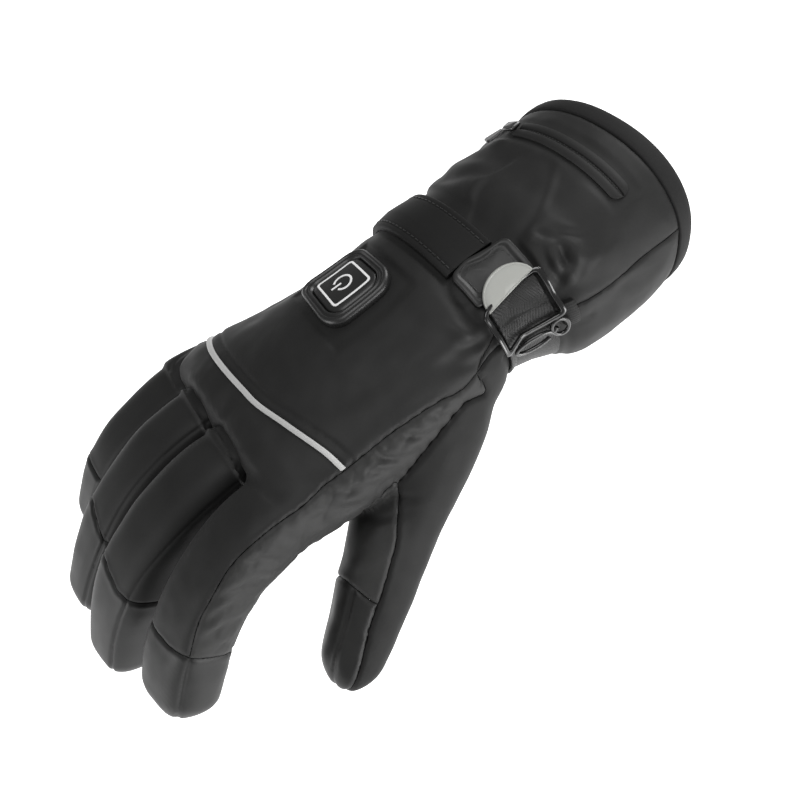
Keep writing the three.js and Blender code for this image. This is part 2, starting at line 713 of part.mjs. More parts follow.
const rimProfile = [
  [0, -bindingProud],
  [bindingEdge, bindingProud],
  [bindingWidth - bindingEdge, bindingProud],
  [bindingWidth, -bindingProud / 2],
];
const binding = loft(rimProfile.map(([along, lift]) => {
  const { frame, section } = sleeveAt(-cuffLength + along);
  return ringAt(frame, section, sleevePoints, lift);
}));
add('rim_binding', binding.subtract(hollows), edgeBinding);

// Hand: everything that isn't a separate finger, then its panels
const others = paths.filter((path) => path !== indexPath);
const fingerOuter = new Map([...paths, thumbPath].map((path) =>
  [path, fingerSolid(path, path === thumbPath ? thumbFirst : 0, fingerSteps, fingerPoints)]));
const rootOf = (path, further = 0) => spaceBeyond(path.at(path.root + further).frame);
const capOf = (path, further = 0) => spaceBeyond(path.at(path.cap + further).frame);
const hand = wholeSolid([
  handSolid(gap / 2, 7, sleevePoints),
  ...others.map((path) => fingerOuter.get(path).subtract(rootOf(path))),
  fingerOuter.get(indexPath).subtract(capOf(indexPath)),
  fingerOuter.get(thumbPath),
]);
const freeFingers = wholeSolid(others.map((path) =>
  fingerSolid(path, path.root, fingerSteps, fingerPoints, gap)));
const handShell = hand.subtract(freeFingers).subtract(hollows);

const backSeamAt = (reach) => readTable(backSeam, reach / handLength).angle;
const palmSeamAt = (reach) => readTable(palmSeam, reach / handLength).angle;
const pipingAngles = steps(pipingFrom, pipingTo, 18);
const pipingAt = (angle) => readTable(pipingLine, angle).reach * handLength;
const farReach = 1.12 * handLength;
const indexCapPast = 0.02 * indexLength;
const thumbPast = 0.06 * thumbLength;
const indexSeamAt = (distance) => readTable(indexSeams, (distance - indexPath.inset) / indexPath.length);
const thumbSeamAt = (distance) => readTable(thumbSeams, (distance - thumbPath.inset) / thumbPath.length);
const seamTurn = 0.5;
const fingerSeamTurn = 1.3;

/** A block of space round a finger between two seams. */
function fingerSector(path, from, to, count, anglesAt) {
  return loft(steps(from, to, count).map((distance) => {
    const { frame, section } = path.at(distance);
    const [start, end] = anglesAt(distance);
    return sectorRing(frame, section, start, end);
  }));
}

const gussetSpace = (widen, fingerWiden, further) => {
  const onHand = sleeveSector(gussetStart * handLength - further, farReach, 9, palmSeamAt, backSeamAt, widen);
  const indexFrom = gussetIndexStart * indexLength;
  return onHand.add(fingerSector(indexPath, indexFrom, indexPath.cap + indexCapPast, 6, (distance) => {
    const seams = indexSeamAt(distance);
    return [seams.palm - fingerWiden, seams.back + fingerWiden];
  }));
};

/** A point out from the sleeve's middle through its surface, at a share of the distance. */
function throughSleeve(reach, angle, share) {
  const { frame, section } = sleeveAt(reach);
  const middle = new THREE.Vector3(0, section.lean, section.rise).applyMatrix4(frame);
  return sectionPoint(frame, section, radians(angle)).sub(middle).multiplyScalar(share).add(middle);
}

/** Space over the back from a line that follows the piping out to the far reach. */
function spacePast(offset, fromAngle, toAngle) {
  return loft([fromAngle, ...pipingAngles, toAngle].map((angle) => {
    const start = pipingAt(angle) + offset;
    const reaches = steps(start, farReach + gap, 5);
    return [...reaches.map((reach) => throughSleeve(reach, angle, 1.8)),
      ...reaches.reverse().map((reach) => throughSleeve(reach, angle, 0.1)),
      ...[0.8, 0.95, 1.1].map((share) => throughSleeve(start, angle, share))];
  }));
}

const knuckleBackSpace = (lap, widen, past) => {
  const indexFrom = knuckleIndexStart * indexLength;
  return fingerSector(indexPath, indexFrom, indexPath.cap + past, 6, (distance) => {
    const seams = indexSeamAt(distance);
    return [seams.back - lap, seams.far + widen];
  });
};
const knuckleBack = knuckleBackSpace(seamLap, 0, indexCapPast);
const knuckleBackWide = knuckleBackSpace(seamLapWide, fingerSeamTurn, 1.5 * indexCapPast);
const halfPiping = pipingWidth / 2;
const knuckleSpace = spacePast(halfPiping + gap, pipingLap, ulnarSeam + ulnarLap);
const pipingRoom = spacePast(-halfPiping - gap, pipingLapWide, ulnarSeam + ulnarLapWide);
const backSpaceWith = (widen) => sleeveSector(-gap, farReach, 10, backSeamAt, () => ulnarSeam, widen);
const backSpace = backSpaceWith(0);
const backSpaceWide = backSpaceWith(seamTurn);

const thumbRoom = fingerSolid(thumbPath, thumbFirst, fingerSteps, fingerPoints, gap);
const gusset = gussetSpace(0, 0, 0).subtract(thumbRoom);
const gussetWide = gussetSpace(seamTurn, fingerSeamTurn, gap).subtract(fingerOuter.get(thumbPath));
const besideGusset = handShell.subtract(gussetWide);
const overBack = besideGusset.intersect(backSpace);
add('side_gusset', handShell.intersect(gusset), stretchPanel);
add('back_panel', largest(overBack.subtract(pipingRoom)), shellFabric);
const indexBack = besideGusset.intersect(knuckleBack).intersect(rootOf(indexPath, -gap));
add('knuckle_panel', largest(overBack.intersect(knuckleSpace).add(indexBack)), shellFabric);
const underside = besideGusset.subtract(backSpaceWide).subtract(knuckleBackWide);
const indexRoom = fingerSolid(indexPath, indexPath.root, fingerSteps, fingerPoints, gap);
add('index_stall', underside.intersect(indexRoom).intersect(rootOf(indexPath, gap)), palmLeather);

const thumbEnd = thumbPath.total + thumbPast;
const thumbSide = (widen, from) => fingerSector(thumbPath, from, thumbEnd, 8, (distance) => {
  const seams = thumbSeamAt(distance);
  return [seams.far - widen, seams.near + 360 + widen];
});
const thumbFree = fingerOuter.get(thumbPath).subtract(hollows);
const thumbInner = thumbFree.intersect(thumbSide(0, thumbPath.root + gap));
add('thumb_stall', thumbInner.subtract(capOf(thumbPath)), stretchPanel);
add('thumb_cap', thumbInner.intersect(capOf(thumbPath, gap)), capLeather);
const palm = underside.subtract(indexRoom.intersect(rootOf(indexPath)));
add('palm_panel', largest(palm.subtract(thumbSide(fingerSeamTurn, thumbPath.root))), palmLeather);

addFitting('reflective_piping', wrappedStrip(pipingAngles, pipingAt,
  [[-halfPiping, -pipingDepth], [halfPiping, -pipingDepth], [halfPiping, 0], [halfPiping * 0.5, pipingProud],
    [-halfPiping * 0.5, pipingProud], [-halfPiping, 0]]), reflective);

// Fingers: stall and tip cap
paths.forEach((path, k) => {
  const neighbour = paths[k - 1];
  const outer = fingerOuter.get(path).subtract(hollows);
  const shell = neighbour ? outer.subtract(fingerSolid(neighbour, 0, fingerSteps, fingerPoints, gap)) : outer;
  if (path !== indexPath) {
    add(`${path.name}_stall`, largest(shell.intersect(rootOf(path, gap)).subtract(capOf(path))), shellFabric);
  }
  add(`${path.name}_cap`, shell.intersect(capOf(path, gap)), capLeather);
});

// Strap: fabric over the back, a leather end, the label plate, the buckle and the webbing
const atStrap = () => strapCentre;
const angleSteps = (from, to, turn) => steps(from, to, Math.round(Math.abs(to - from) / turn));
addFitting('wrist_strap', wrappedStrip(angleSteps(strapFrom, strapTo, 9), atStrap,
  strapProfile(strapWidth, seat, strapThick, strapBevel)), strapFabric);
const patchMiddle = (patchFrom + patchTo) / 2;
const patchOutline = roundedOutline({ reach: patchCentre, angle: patchMiddle, width: patchWidth,
  turn: patchFrom - patchTo, corner: patchCorner, cornerTurn: patchCornerTurn, perSide: 3, perCorner: 2 });
addFitting('strap_patch', wrappedPlate(patchOutline, plateLayers(seat, patchThick)), capLeather);
const buckleFrame = { reach: patchCentre, angle: (buckleFrom + buckleTo) / 2, perSide: 4, perCorner: 1 };
const buckleOutline = roundedOutline({ ...buckleFrame, width: buckleWidth, turn: buckleFrom - buckleTo,
  corner: buckleCorner, cornerTurn: buckleCornerTurn });
const windowTurn = buckleFrom - buckleTo - 2 * buckleBarTurn;
const windowOutline = roundedOutline({ ...buckleFrame, width: buckleWidth - 2 * buckleBar, turn: windowTurn,
  corner: buckleCorner / 2, cornerTurn: buckleCornerTurn / 2 });
const buckleLow = patchThick + seat;
const buckleHigh = buckleLow + buckleThick;
const buckleBlock = wrappedPlate(buckleOutline, rimLayers(buckleLow, buckleHigh));
const buckleWindow = wrappedPlate(windowOutline, flatLayers(buckleLow - windowCut, buckleHigh + windowCut));
addFitting('buckle', buckleBlock.subtract(buckleWindow), plastic);
const plateFlat = buckleFrom + plateClearTurn;
const plateOutline = [
  ...steps(0, 180, 9).map((turn) => [patchCentre + plateRadius * Math.cos(radians(turn)),
    plateFlat + plateTurn * Math.sin(radians(turn))]),
  ...steps(-1, 1, 6).slice(1, -1).map((share) => [patchCentre + plateRadius * share, plateFlat]),
];
const plateLow = patchThick + plateSeat;
const plateBlock = wrappedPlate(plateOutline, plateLayers(plateLow, plateLow + plateThick));
addFitting('label_plate', plateBlock, paleLabel);
addFitting('strap_webbing', wrappedStrip(angleSteps(webbingFrom, webbingTo, 9), () => patchCentre,
  strapProfile(webbingWidth, webbingSeat, webbingThick, webbingBevel)), webbing);

// Button: a rubber base with a raised rim, its face, the light's frame and the on/off mark
const turnPerMm = THREE.MathUtils.radToDeg(1 / buttonRadius);
const buttonPlate = (size, layers, round = buttonRound) => wrappedPlate(roundedOutline({
  reach: buttonReach, angle: buttonAngle, width: size, turn: size * turnPerMm,
  corner: size * round, cornerTurn: size * round * turnPerMm }), layers);
const faceSize = buttonSize - 2 * buttonRim;
const faceLow = seat + buttonFloor + gap;
const faceTop = buttonThick - buttonSink;
const faceRoom = buttonPlate(faceSize + 2 * gap, flatLayers(faceLow - gap, buttonThick + 1));
const baseBlock = buttonPlate(buttonSize, rimLayers(seat, buttonThick, baseBevel));
addFitting('button_base', baseBlock.subtract(faceRoom), rubber);
addFitting('button_face', buttonPlate(faceSize, rimLayers(faceLow, faceTop, faceBevel)), rubber);
const printLow = faceTop + gap / 2;
const printHigh = printLow + printThick;
addFitting('button_light', buttonPlate(lightSize, flatLayers(printLow, printHigh), lightRound)
  .subtract(buttonPlate(lightSize - 2 * lightLine, flatLayers(printLow - 1, printHigh + 1), lightRound)),
whitePrint);
const markFrame = frameOn(buttonReach, buttonAngle, printLow);
const arc = new THREE.Shape().absarc(0, 0, markSize / 2, radians(markOpening), radians(360 - markOpening));
arc.absarc(0, 0, markSize / 2 - lightLine, radians(360 - markOpening), radians(markOpening), true);
const markDepth = { depth: printThick, bevelEnabled: false, curveSegments: 8 };
addFitting('button_mark_ring', solidFrom(new THREE.ExtrudeGeometry(arc, markDepth), markFrame), whitePrint);
addFitting('button_mark_stroke', solidFrom(new THREE.BoxGeometry(markSize / 2, lightLine, printThick),
  chain(markFrame, move(markSize * 0.4, 0, printThick / 2))), whitePrint);

// Zipped pocket on the cuff: its welt, the slider and the pull
const pocketHalf = pocketWidth / 2;
const slotHalf = zipSlot / 2;
const slotDepth = pocketThick * 0.6;
const pocketTop = pocketHalf - pocketBevel;
const pocketProfile = [
  [-pocketHalf, gap], [pocketHalf, gap], [pocketHalf, slotDepth], [pocketTop, pocketThick],
  [slotHalf, pocketThick], [slotHalf, slotDepth], [-slotHalf, slotDepth], [-slotHalf, pocketThick],
  [-pocketTop, pocketThick], [-pocketHalf, slotDepth],
];
addFitting('pocket_welt', wrappedStrip(angleSteps(pocketFrom, pocketTo, 9), () => pocketReach, pocketProfile),
  edgeBinding);
const sliderAngle = pocketTo + sliderTurn;
const sliderFrame = frameOn(pocketReach, sliderAngle, gap + sliderThick / 2);
const slider = new THREE.BoxGeometry(sliderWidth, sliderLength, sliderThick);
addFitting('zip_slider', solidFrom(slider, chain(sliderFrame, move(0, 0, gap))), darkMetal);
const pull = new THREE.Shape().moveTo(-pullNarrow / 2, 0).lineTo(pullNarrow / 2, 0)
  .lineTo(pullWide / 2, pullLength).lineTo(-pullWide / 2, pullLength);
pull.closePath();
const pullReach = pocketReach + sliderWidth / 2 + 2 * gap;
const pullFrame = chain(frameOn(pullReach, sliderAngle, gap + sliderThick / 2), turnZ(pullTurn));
addFitting('zip_pull', solidFrom(new THREE.ExtrudeGeometry(pull, { depth: pullThick, bevelEnabled: false }),
  pullFrame), darkMetal);

// Side clip: a webbing loop behind the buckle, and a plastic ring with a hook
addFitting('clip_loop', wrappedStrip(steps(loopFrom, loopTo, 4), () => loopReach,
  strapProfile(loopWidth, gap, gap + loopThick, strapBevel)), webbing);
const clipFrame = frameOn(clipReach, clipAngle, loopThick + 2 * gap + clipRod);
const clipApart = clipRing + clipRod / 2;
const ringFrame = chain(clipFrame, move(-clipApart, -clipRing / 2, 0));
const hookFrame = chain(clipFrame, move(clipApart, clipRing / 2, 0));
addFitting('side_clip', solidFrom(new THREE.TorusGeometry(clipRing, clipRod, 6, 10), ringFrame)
  .add(bentRod(hookFrame, clipHook, clipRod, hookFrom, hookTo, 9)), plastic);

export default glove;
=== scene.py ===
"""A padded, heated winter glove for the right hand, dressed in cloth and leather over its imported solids.

The shapes are worked out in millimetres in the hand's own frame: x is the reach from the wrist towards the
fingertips, y is the side towards the thumb, and z is the rise out of the back of the hand. An angle round a
section starts at the thumb side (0) and goes over the back (90) to the little finger's side (180) and the
palm (270). Each mesh is turned into the row's frame and into metres when it is made.
"""

from __future__ import annotations

import logging
import math
from dataclasses import dataclass
from enum import Enum
from typing import Sequence

import bpy
import numpy as np
from mathutils import Matrix, Vector, kdtree, noise

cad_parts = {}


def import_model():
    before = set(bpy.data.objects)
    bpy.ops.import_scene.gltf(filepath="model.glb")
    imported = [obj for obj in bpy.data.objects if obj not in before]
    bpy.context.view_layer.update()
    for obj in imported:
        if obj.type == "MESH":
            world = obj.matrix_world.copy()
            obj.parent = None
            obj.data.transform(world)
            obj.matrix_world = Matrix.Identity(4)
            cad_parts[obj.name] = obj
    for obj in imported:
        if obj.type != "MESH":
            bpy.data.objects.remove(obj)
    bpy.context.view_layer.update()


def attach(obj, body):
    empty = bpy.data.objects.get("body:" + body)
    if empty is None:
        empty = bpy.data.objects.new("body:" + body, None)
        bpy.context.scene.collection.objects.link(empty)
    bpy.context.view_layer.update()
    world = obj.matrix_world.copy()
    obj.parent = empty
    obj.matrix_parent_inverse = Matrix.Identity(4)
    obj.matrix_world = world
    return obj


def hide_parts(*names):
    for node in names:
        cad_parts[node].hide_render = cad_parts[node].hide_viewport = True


Array = np.ndarray
Socket = bpy.types.NodeSocket
METRES = 0.001
ON_LINE = 0.13  # points closer to a seam line than this, in millimetres, are on it
log = logging.getLogger("glove")


# Driving dimensions


@dataclass(frozen=True)
class CuffSizes:
    """Sizes of the gauntlet, in millimetres and degrees."""

    length: float = 70.0
    width: float = 88.0
    depth: float = 70.0
    slant: float = 21.0
    skew: float = 10.0
    wall: float = 4.0
    side_seam: float = 15.0
    binding: float = 6.5


@dataclass(frozen=True)
class HandSizes:
    """Sizes of the hand between the wrist and the roots of the fingers."""

    length: float = 104.0
    width: float = 104.0
    depth: float = 44.0
    flexion: float = 14.0
    deviation: float = 9.0
    bend_length: float = 45.0
    knuckle_round: float = 9.0
    wall: float = 2.6
    gusset_start: float = 22.9
    far_seam: float = 188.0


CUFF = CuffSizes()
HAND = HandSizes()


class Table:
    """Rows of numbers under named columns, read on one smooth curve through the rows."""

    def __init__(self, columns: str, rows: Sequence[Sequence[float]]) -> None:
        """Keeps the rows."""
        self.columns = columns.split()
        self.rows = np.array(rows, float)

    def read(self, at: Array) -> dict[str, Array]:
        """Reads every column at some places.

        Args:
            at: the places.

        Returns:
            An array for each column but the first.
        """
        at = np.atleast_1d(np.asarray(at, float))
        places = self.rows[:, 0]
        last = len(places) - 1
        start = np.clip(np.searchsorted(places, at, side="right") - 1, 0, last - 1)
        before, stop, after = np.maximum(start - 1, 0), start + 1, np.minimum(start + 2, last)
        span = places[stop] - places[start]
        t = np.clip((at - places[start]) / span, 0, 1)
        read = {}
        for k, name in enumerate(self.columns[1:], 1):
            value = self.rows[:, k]
            slope_from = (value[stop] - value[before]) / np.maximum(places[stop] - places[before], span)
            slope_to = (value[after] - value[start]) / np.maximum(places[after] - places[start], span)
            read[name] = (
                value[start] * (2 * t**3 - 3 * t**2 + 1)
                + value[stop] * (3 * t**2 - 2 * t**3)
                + span * (slope_from * (t**3 - 2 * t**2 + t) + slope_to * (t**3 - t**2))
            )
        return read

    def column(self, name: str, at: Array) -> Array:
        """One column at some places."""
        return self.read(at)[name]


CUFF_SECTIONS = Table(
    "at width back palm lean rise square slant",
    [
        (0.0, 0.852, 0.386, 0.402, 0.0, 0.0, 2.2, 0.0), (0.18, 0.89, 0.42, 0.45, 0.025, -0.02, 2.2, 0.0),
        (0.36, 0.96, 0.475, 0.49, 0.045, -0.03, 2.2, 0.2),
        (0.65, 0.97, 0.49, 0.49, 0.05, -0.03, 2.2, 0.55),
        (1.0, 0.93, 0.465, 0.465, 0.035, -0.02, 2.2, 1.0),
    ],
)
HAND_SECTIONS = Table(
    "at width back palm lean rise square roll",
    [
        (0.0, 0.72, 0.615, 0.64, 0.0, 0.0, 2.2, 0), (0.2, 0.77, 0.6, 0.66, 0.035, -0.02, 2.25, 0),
        (0.5, 0.86, 0.57, 0.6, 0.04, 0.0, 2.3, 2), (0.8, 0.97, 0.56, 0.42, 0.01, 0.0, 2.5, 6),
        (1.0, 1.0, 0.56, 0.34, 0.0, 0.0, 2.6, 8),
    ],
)
FINGER_TAPER = Table(
    "at width back palm square",
    [
        (-0.3, 0.78, 0.36, 0.4, 2.6), (0.0, 1.0, 0.5, 0.5, 3.0), (0.4, 1.0, 0.5, 0.5, 3.0),
        (0.75, 0.98, 0.49, 0.49, 3.0), (1.0, 0.9, 0.44, 0.44, 2.8),
    ],
)
THUMB_TAPER = Table(
    "at width back palm square",
    [
        (-1.0, 0.9, 0.45, 0.45, 2.2), (-0.8, 1.25, 0.62, 0.62, 2.2), (-0.58, 1.4, 0.7, 0.68, 2.2),
        (-0.3, 1.35, 0.7, 0.64, 2.2), (0.0, 1.2, 0.62, 0.54, 2.2), (0.45, 1.0, 0.52, 0.46, 2.4),
        (1.0, 0.78, 0.4, 0.36, 2.6),
    ],
)

# Broad folds of the padding: place in shares of the cuff's length (under zero) or the hand's, angle, spread
# along and across in shares of the hand's width, turn, and rise in shares of the cuff's wall.
FOLDS = [
    (-0.34, 75, 0.067, 0.327, 0, 0.33), (-0.29, 28, 0.115, 0.048, 25, -0.4),
    (-0.37, 2, 0.115, 0.048, -15, -0.35), (-0.43, 14, 0.115, 0.067, 10, 0.35),
    (-0.69, 27, 0.058, 0.115, 15, -0.25), (-0.86, 20, 0.048, 0.115, -10, 0.25),
    (-0.54, 110, 0.087, 0.154, 20, -0.2), (0.14, 75, 0.058, 0.212, -20, 0.25),
    (0.16, 38, 0.135, 0.048, 20, -0.35), (0.25, 52, 0.135, 0.058, 30, 0.25),
    (0.48, 62, 0.135, 0.077, 20, -0.2), (0.58, 105, 0.115, 0.154, 0, 0.23),
    (0.63, 140, 0.096, 0.077, -30, -0.2), (0.9, 80, 0.058, 0.115, 0, 0.23),
    (0.89, 112, 0.058, 0.087, 0, 0.23), (0.88, 97, 0.087, 0.048, 0, -0.2),
    (-0.5, 200, 0.115, 0.096, 0, -0.25), (0.29, 250, 0.077, 0.231, 0, -0.25),
]

BACK_SEAM = Table(
    "reach angle",
    [(0, 12), (10, 8), (23, 5), (32, 20), (44, 27), (54, 29), (72, 27.5), (81, 28), (91, 26), (109, 22)],
)
PALM_SEAM = Table("reach angle", [(21, 5), (34, -5), (41.6, -10), (55, -18), (78, -42), (109, -50)])
INDEX_SEAMS = Table(
    "at back palm far",
    [(17, 38, -40, 146), (36, 46, -42, 142), (46, 50, -42, 140), (59, 44, -42, 138), (68, 43, -41, 138),
     (80, 34, -40, 138), (94, 32, -38, 138), (114, 30, -36, 138)],
)
THUMB_SEAMS = Table(
    "at near far inner",
    [(24, -6, 202, 232), (31, -4, 199, 230), (41, 0, 188, 224), (51, 3, 179, 220), (61, 4, 177, 216),
     (71, 5, 176, 214), (85, 8, 177, 212), (97, 10, 173, 212), (106, 12, 168, 212)],
)
PIPING_LINE = Table(
    "angle reach",
    [(26, 71.2), (45, 72.8), (71, 78), (91, 82.7), (120, 84.2), (150, 82.2), (188, 80.1)],
)


@dataclass(frozen=True)
class Digit:
    """The sizes of a finger or the thumb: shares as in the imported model's own tables, lengths in mm."""

    name: str
    length: float
    root: float
    side: float
    rise: float
    thick: float
    deep: float
    splay: float
    tilt: float
    roll: float
    bends: tuple[float, float, float]
    cap_line: tuple[tuple[float, float], ...]
    seam_lines: tuple[tuple[tuple[float, float], ...], ...] = ()
    inset: float = 26.0
    set_back: float = 26.0
    width: float = 26.0
    tip: float = 10.0
    wall: float = 2.4


INDEX = Digit("index", 88, 0.968, 0.346, 0.168, 1.13, 1.02, 4, -6, 4, (28, 22, 8),
              ((-90, 81.5), (32, 81.5), (70, 81.5), (102, 82), (200, 82), (270, 81.5)))
MIDDLE = Digit("middle", 94, 1.054, 0.07, 0.235, 1.04, 1.02, 0, 2, -1, (24, 26, 11),
               ((-90, 77), (44, 77), (76, 76), (102, 73), (200, 74), (270, 77)),
               (((0, 20), (37, 24), (56, 32), (67, 40), (77, 44), (98, 54), (120, 58)),))
RING = Digit("ring", 89, 1.02, -0.178, 0.125, 0.93, 0.97, -3, 3, 3, (24, 18, 7),
             ((-90, 76), (52, 76), (82, 73), (102, 70), (200, 71), (270, 76)),
             (((0, 44), (44, 52), (58, 54), (76, 52), (94, 56), (115, 58)),))
LITTLE = Digit("little", 75, 0.95, -0.385, -0.08, 0.88, 0.89, -5, 2.5, -1, (17, 28, 8),
               ((-90, 71), (74, 71), (104, 71), (270, 71)),
               (((0, 62), (50, 68), (101, 72)),))
THUMB = Digit("thumb", 69, 0.3, 0.27, -0.2, 1, 1, 23, 24, -130, (-3, 0, 4),
              ((150, 77), (172, 76), (205, 73), (235, 71), (270, 71), (330, 73), (380, 76), (510, 77)),
              inset=40.0, set_back=0.0, width=29.0, tip=12.0)


# Geometry kit


def wrap(turn: Array) -> Array:
    """Turns in degrees brought between -180 and 180."""
    return (turn + 180.0) % 360.0 - 180.0


def unit(vectors: Array) -> Array:
    """Vectors scaled to length one."""
    return vectors / np.maximum(np.linalg.norm(vectors, axis=-1, keepdims=True), 1e-12)


def bell(distance: Array, width: float | Array) -> Array:
    """A smooth bump of height one."""
    return np.exp(-((distance / width) ** 2))


def ease(value: Array, low: float, high: float) -> Array:
    """A smooth rise from 0 to 1."""
    t = np.clip((value - low) / (high - low), 0, 1)
    return t * t * (3 - 2 * t)


@dataclass
class Frames:
    """Many frames: their rotations and their origins."""

    turn: Array
    place: Array

    @classmethod
    def still(cls, count: int) -> "Frames":
        """Unmoved frames."""
        return cls(np.tile(np.eye(3), (count, 1, 1)), np.zeros((count, 3)))

    def moved(self, step: Array) -> "Frames":
        """The frames moved by steps in their own axes."""
        step = np.broadcast_to(step, self.place.shape)
        return Frames(self.turn, self.place + np.einsum("nij,nj->ni", self.turn, step))

    def turned(self, axis: Sequence[float], degrees: Array | float) -> "Frames":
        """The frames turned about one of their own axes.

        Args:
            axis: the axis, of length one.
            degrees: a turn for each frame, or one for all.

        Returns:
            The turned frames.
        """
        angle = np.radians(np.broadcast_to(degrees, len(self.place)))
        x, y, z = axis
        cross = np.array([[0, -z, y], [z, 0, -x], [-y, x, 0]], float)
        sine, versine = np.sin(angle)[:, None, None], (1 - np.cos(angle))[:, None, None]
        rotation = np.eye(3) + sine * cross + versine * (cross @ cross)
        return Frames(self.turn @ rotation, self.place)

    def outward(self, local: Array) -> Array:
        """Points in the frames' axes brought out into the hand's frame."""
        return self.place + np.einsum("nij,nj->ni", self.turn, local)

    def inward(self, points: Array) -> Array:
        """Points of the hand's frame in the frames' own axes."""
        return np.einsum("nji,nj->ni", self.turn, points - self.place)


SIDE_AXIS = (0.0, 1.0, 0.0)


@dataclass(frozen=True)
class Arc:
    """One stretch of a path, with an even bend."""

    length: float
    turn: float = 0.0
    axis: tuple[float, float, float] = SIDE_AXIS


def walk(start: Frames, arcs: Sequence[Arc], distance: Array) -> Frames:
    """Follows a chain of arcs.

    Args:
        start: the start frame, once for each distance.
        arcs: the stretches of the path.
        distance: how far along the path each frame is.

    Returns:
        The frames there.
    """
    left = np.array(distance, float)
    frames = start
    ahead = np.array([1.0, 0.0, 0.0])
    for i, arc in enumerate(arcs):
        step = left if i == len(arcs) - 1 else np.minimum(left, arc.length)
        step = np.maximum(step, 0) if i else step
        turned = math.radians(arc.turn) * step / arc.length
        inward = np.cross(arc.axis, ahead)
        forward = step * np.sinc(turned / math.pi)
        sideways = step * np.sin(turned / 2) * np.sinc(turned / 2 / math.pi)
        frames = frames.moved(np.outer(forward, ahead) + np.outer(sideways, inward))
        frames = frames.turned(arc.axis, np.degrees(turned))
        left = left - step
    return frames


@dataclass
class Chart:
    """Where points lie on a limb: along it, round it, out of it, and their distance from its middle."""

    at: Array
    angle: Array
    outside: Array
    radius: Array

    def across(self, turn: Array) -> Array:
        """A turn round the section as a length on the surface."""
        return np.radians(wrap(turn)) * self.radius


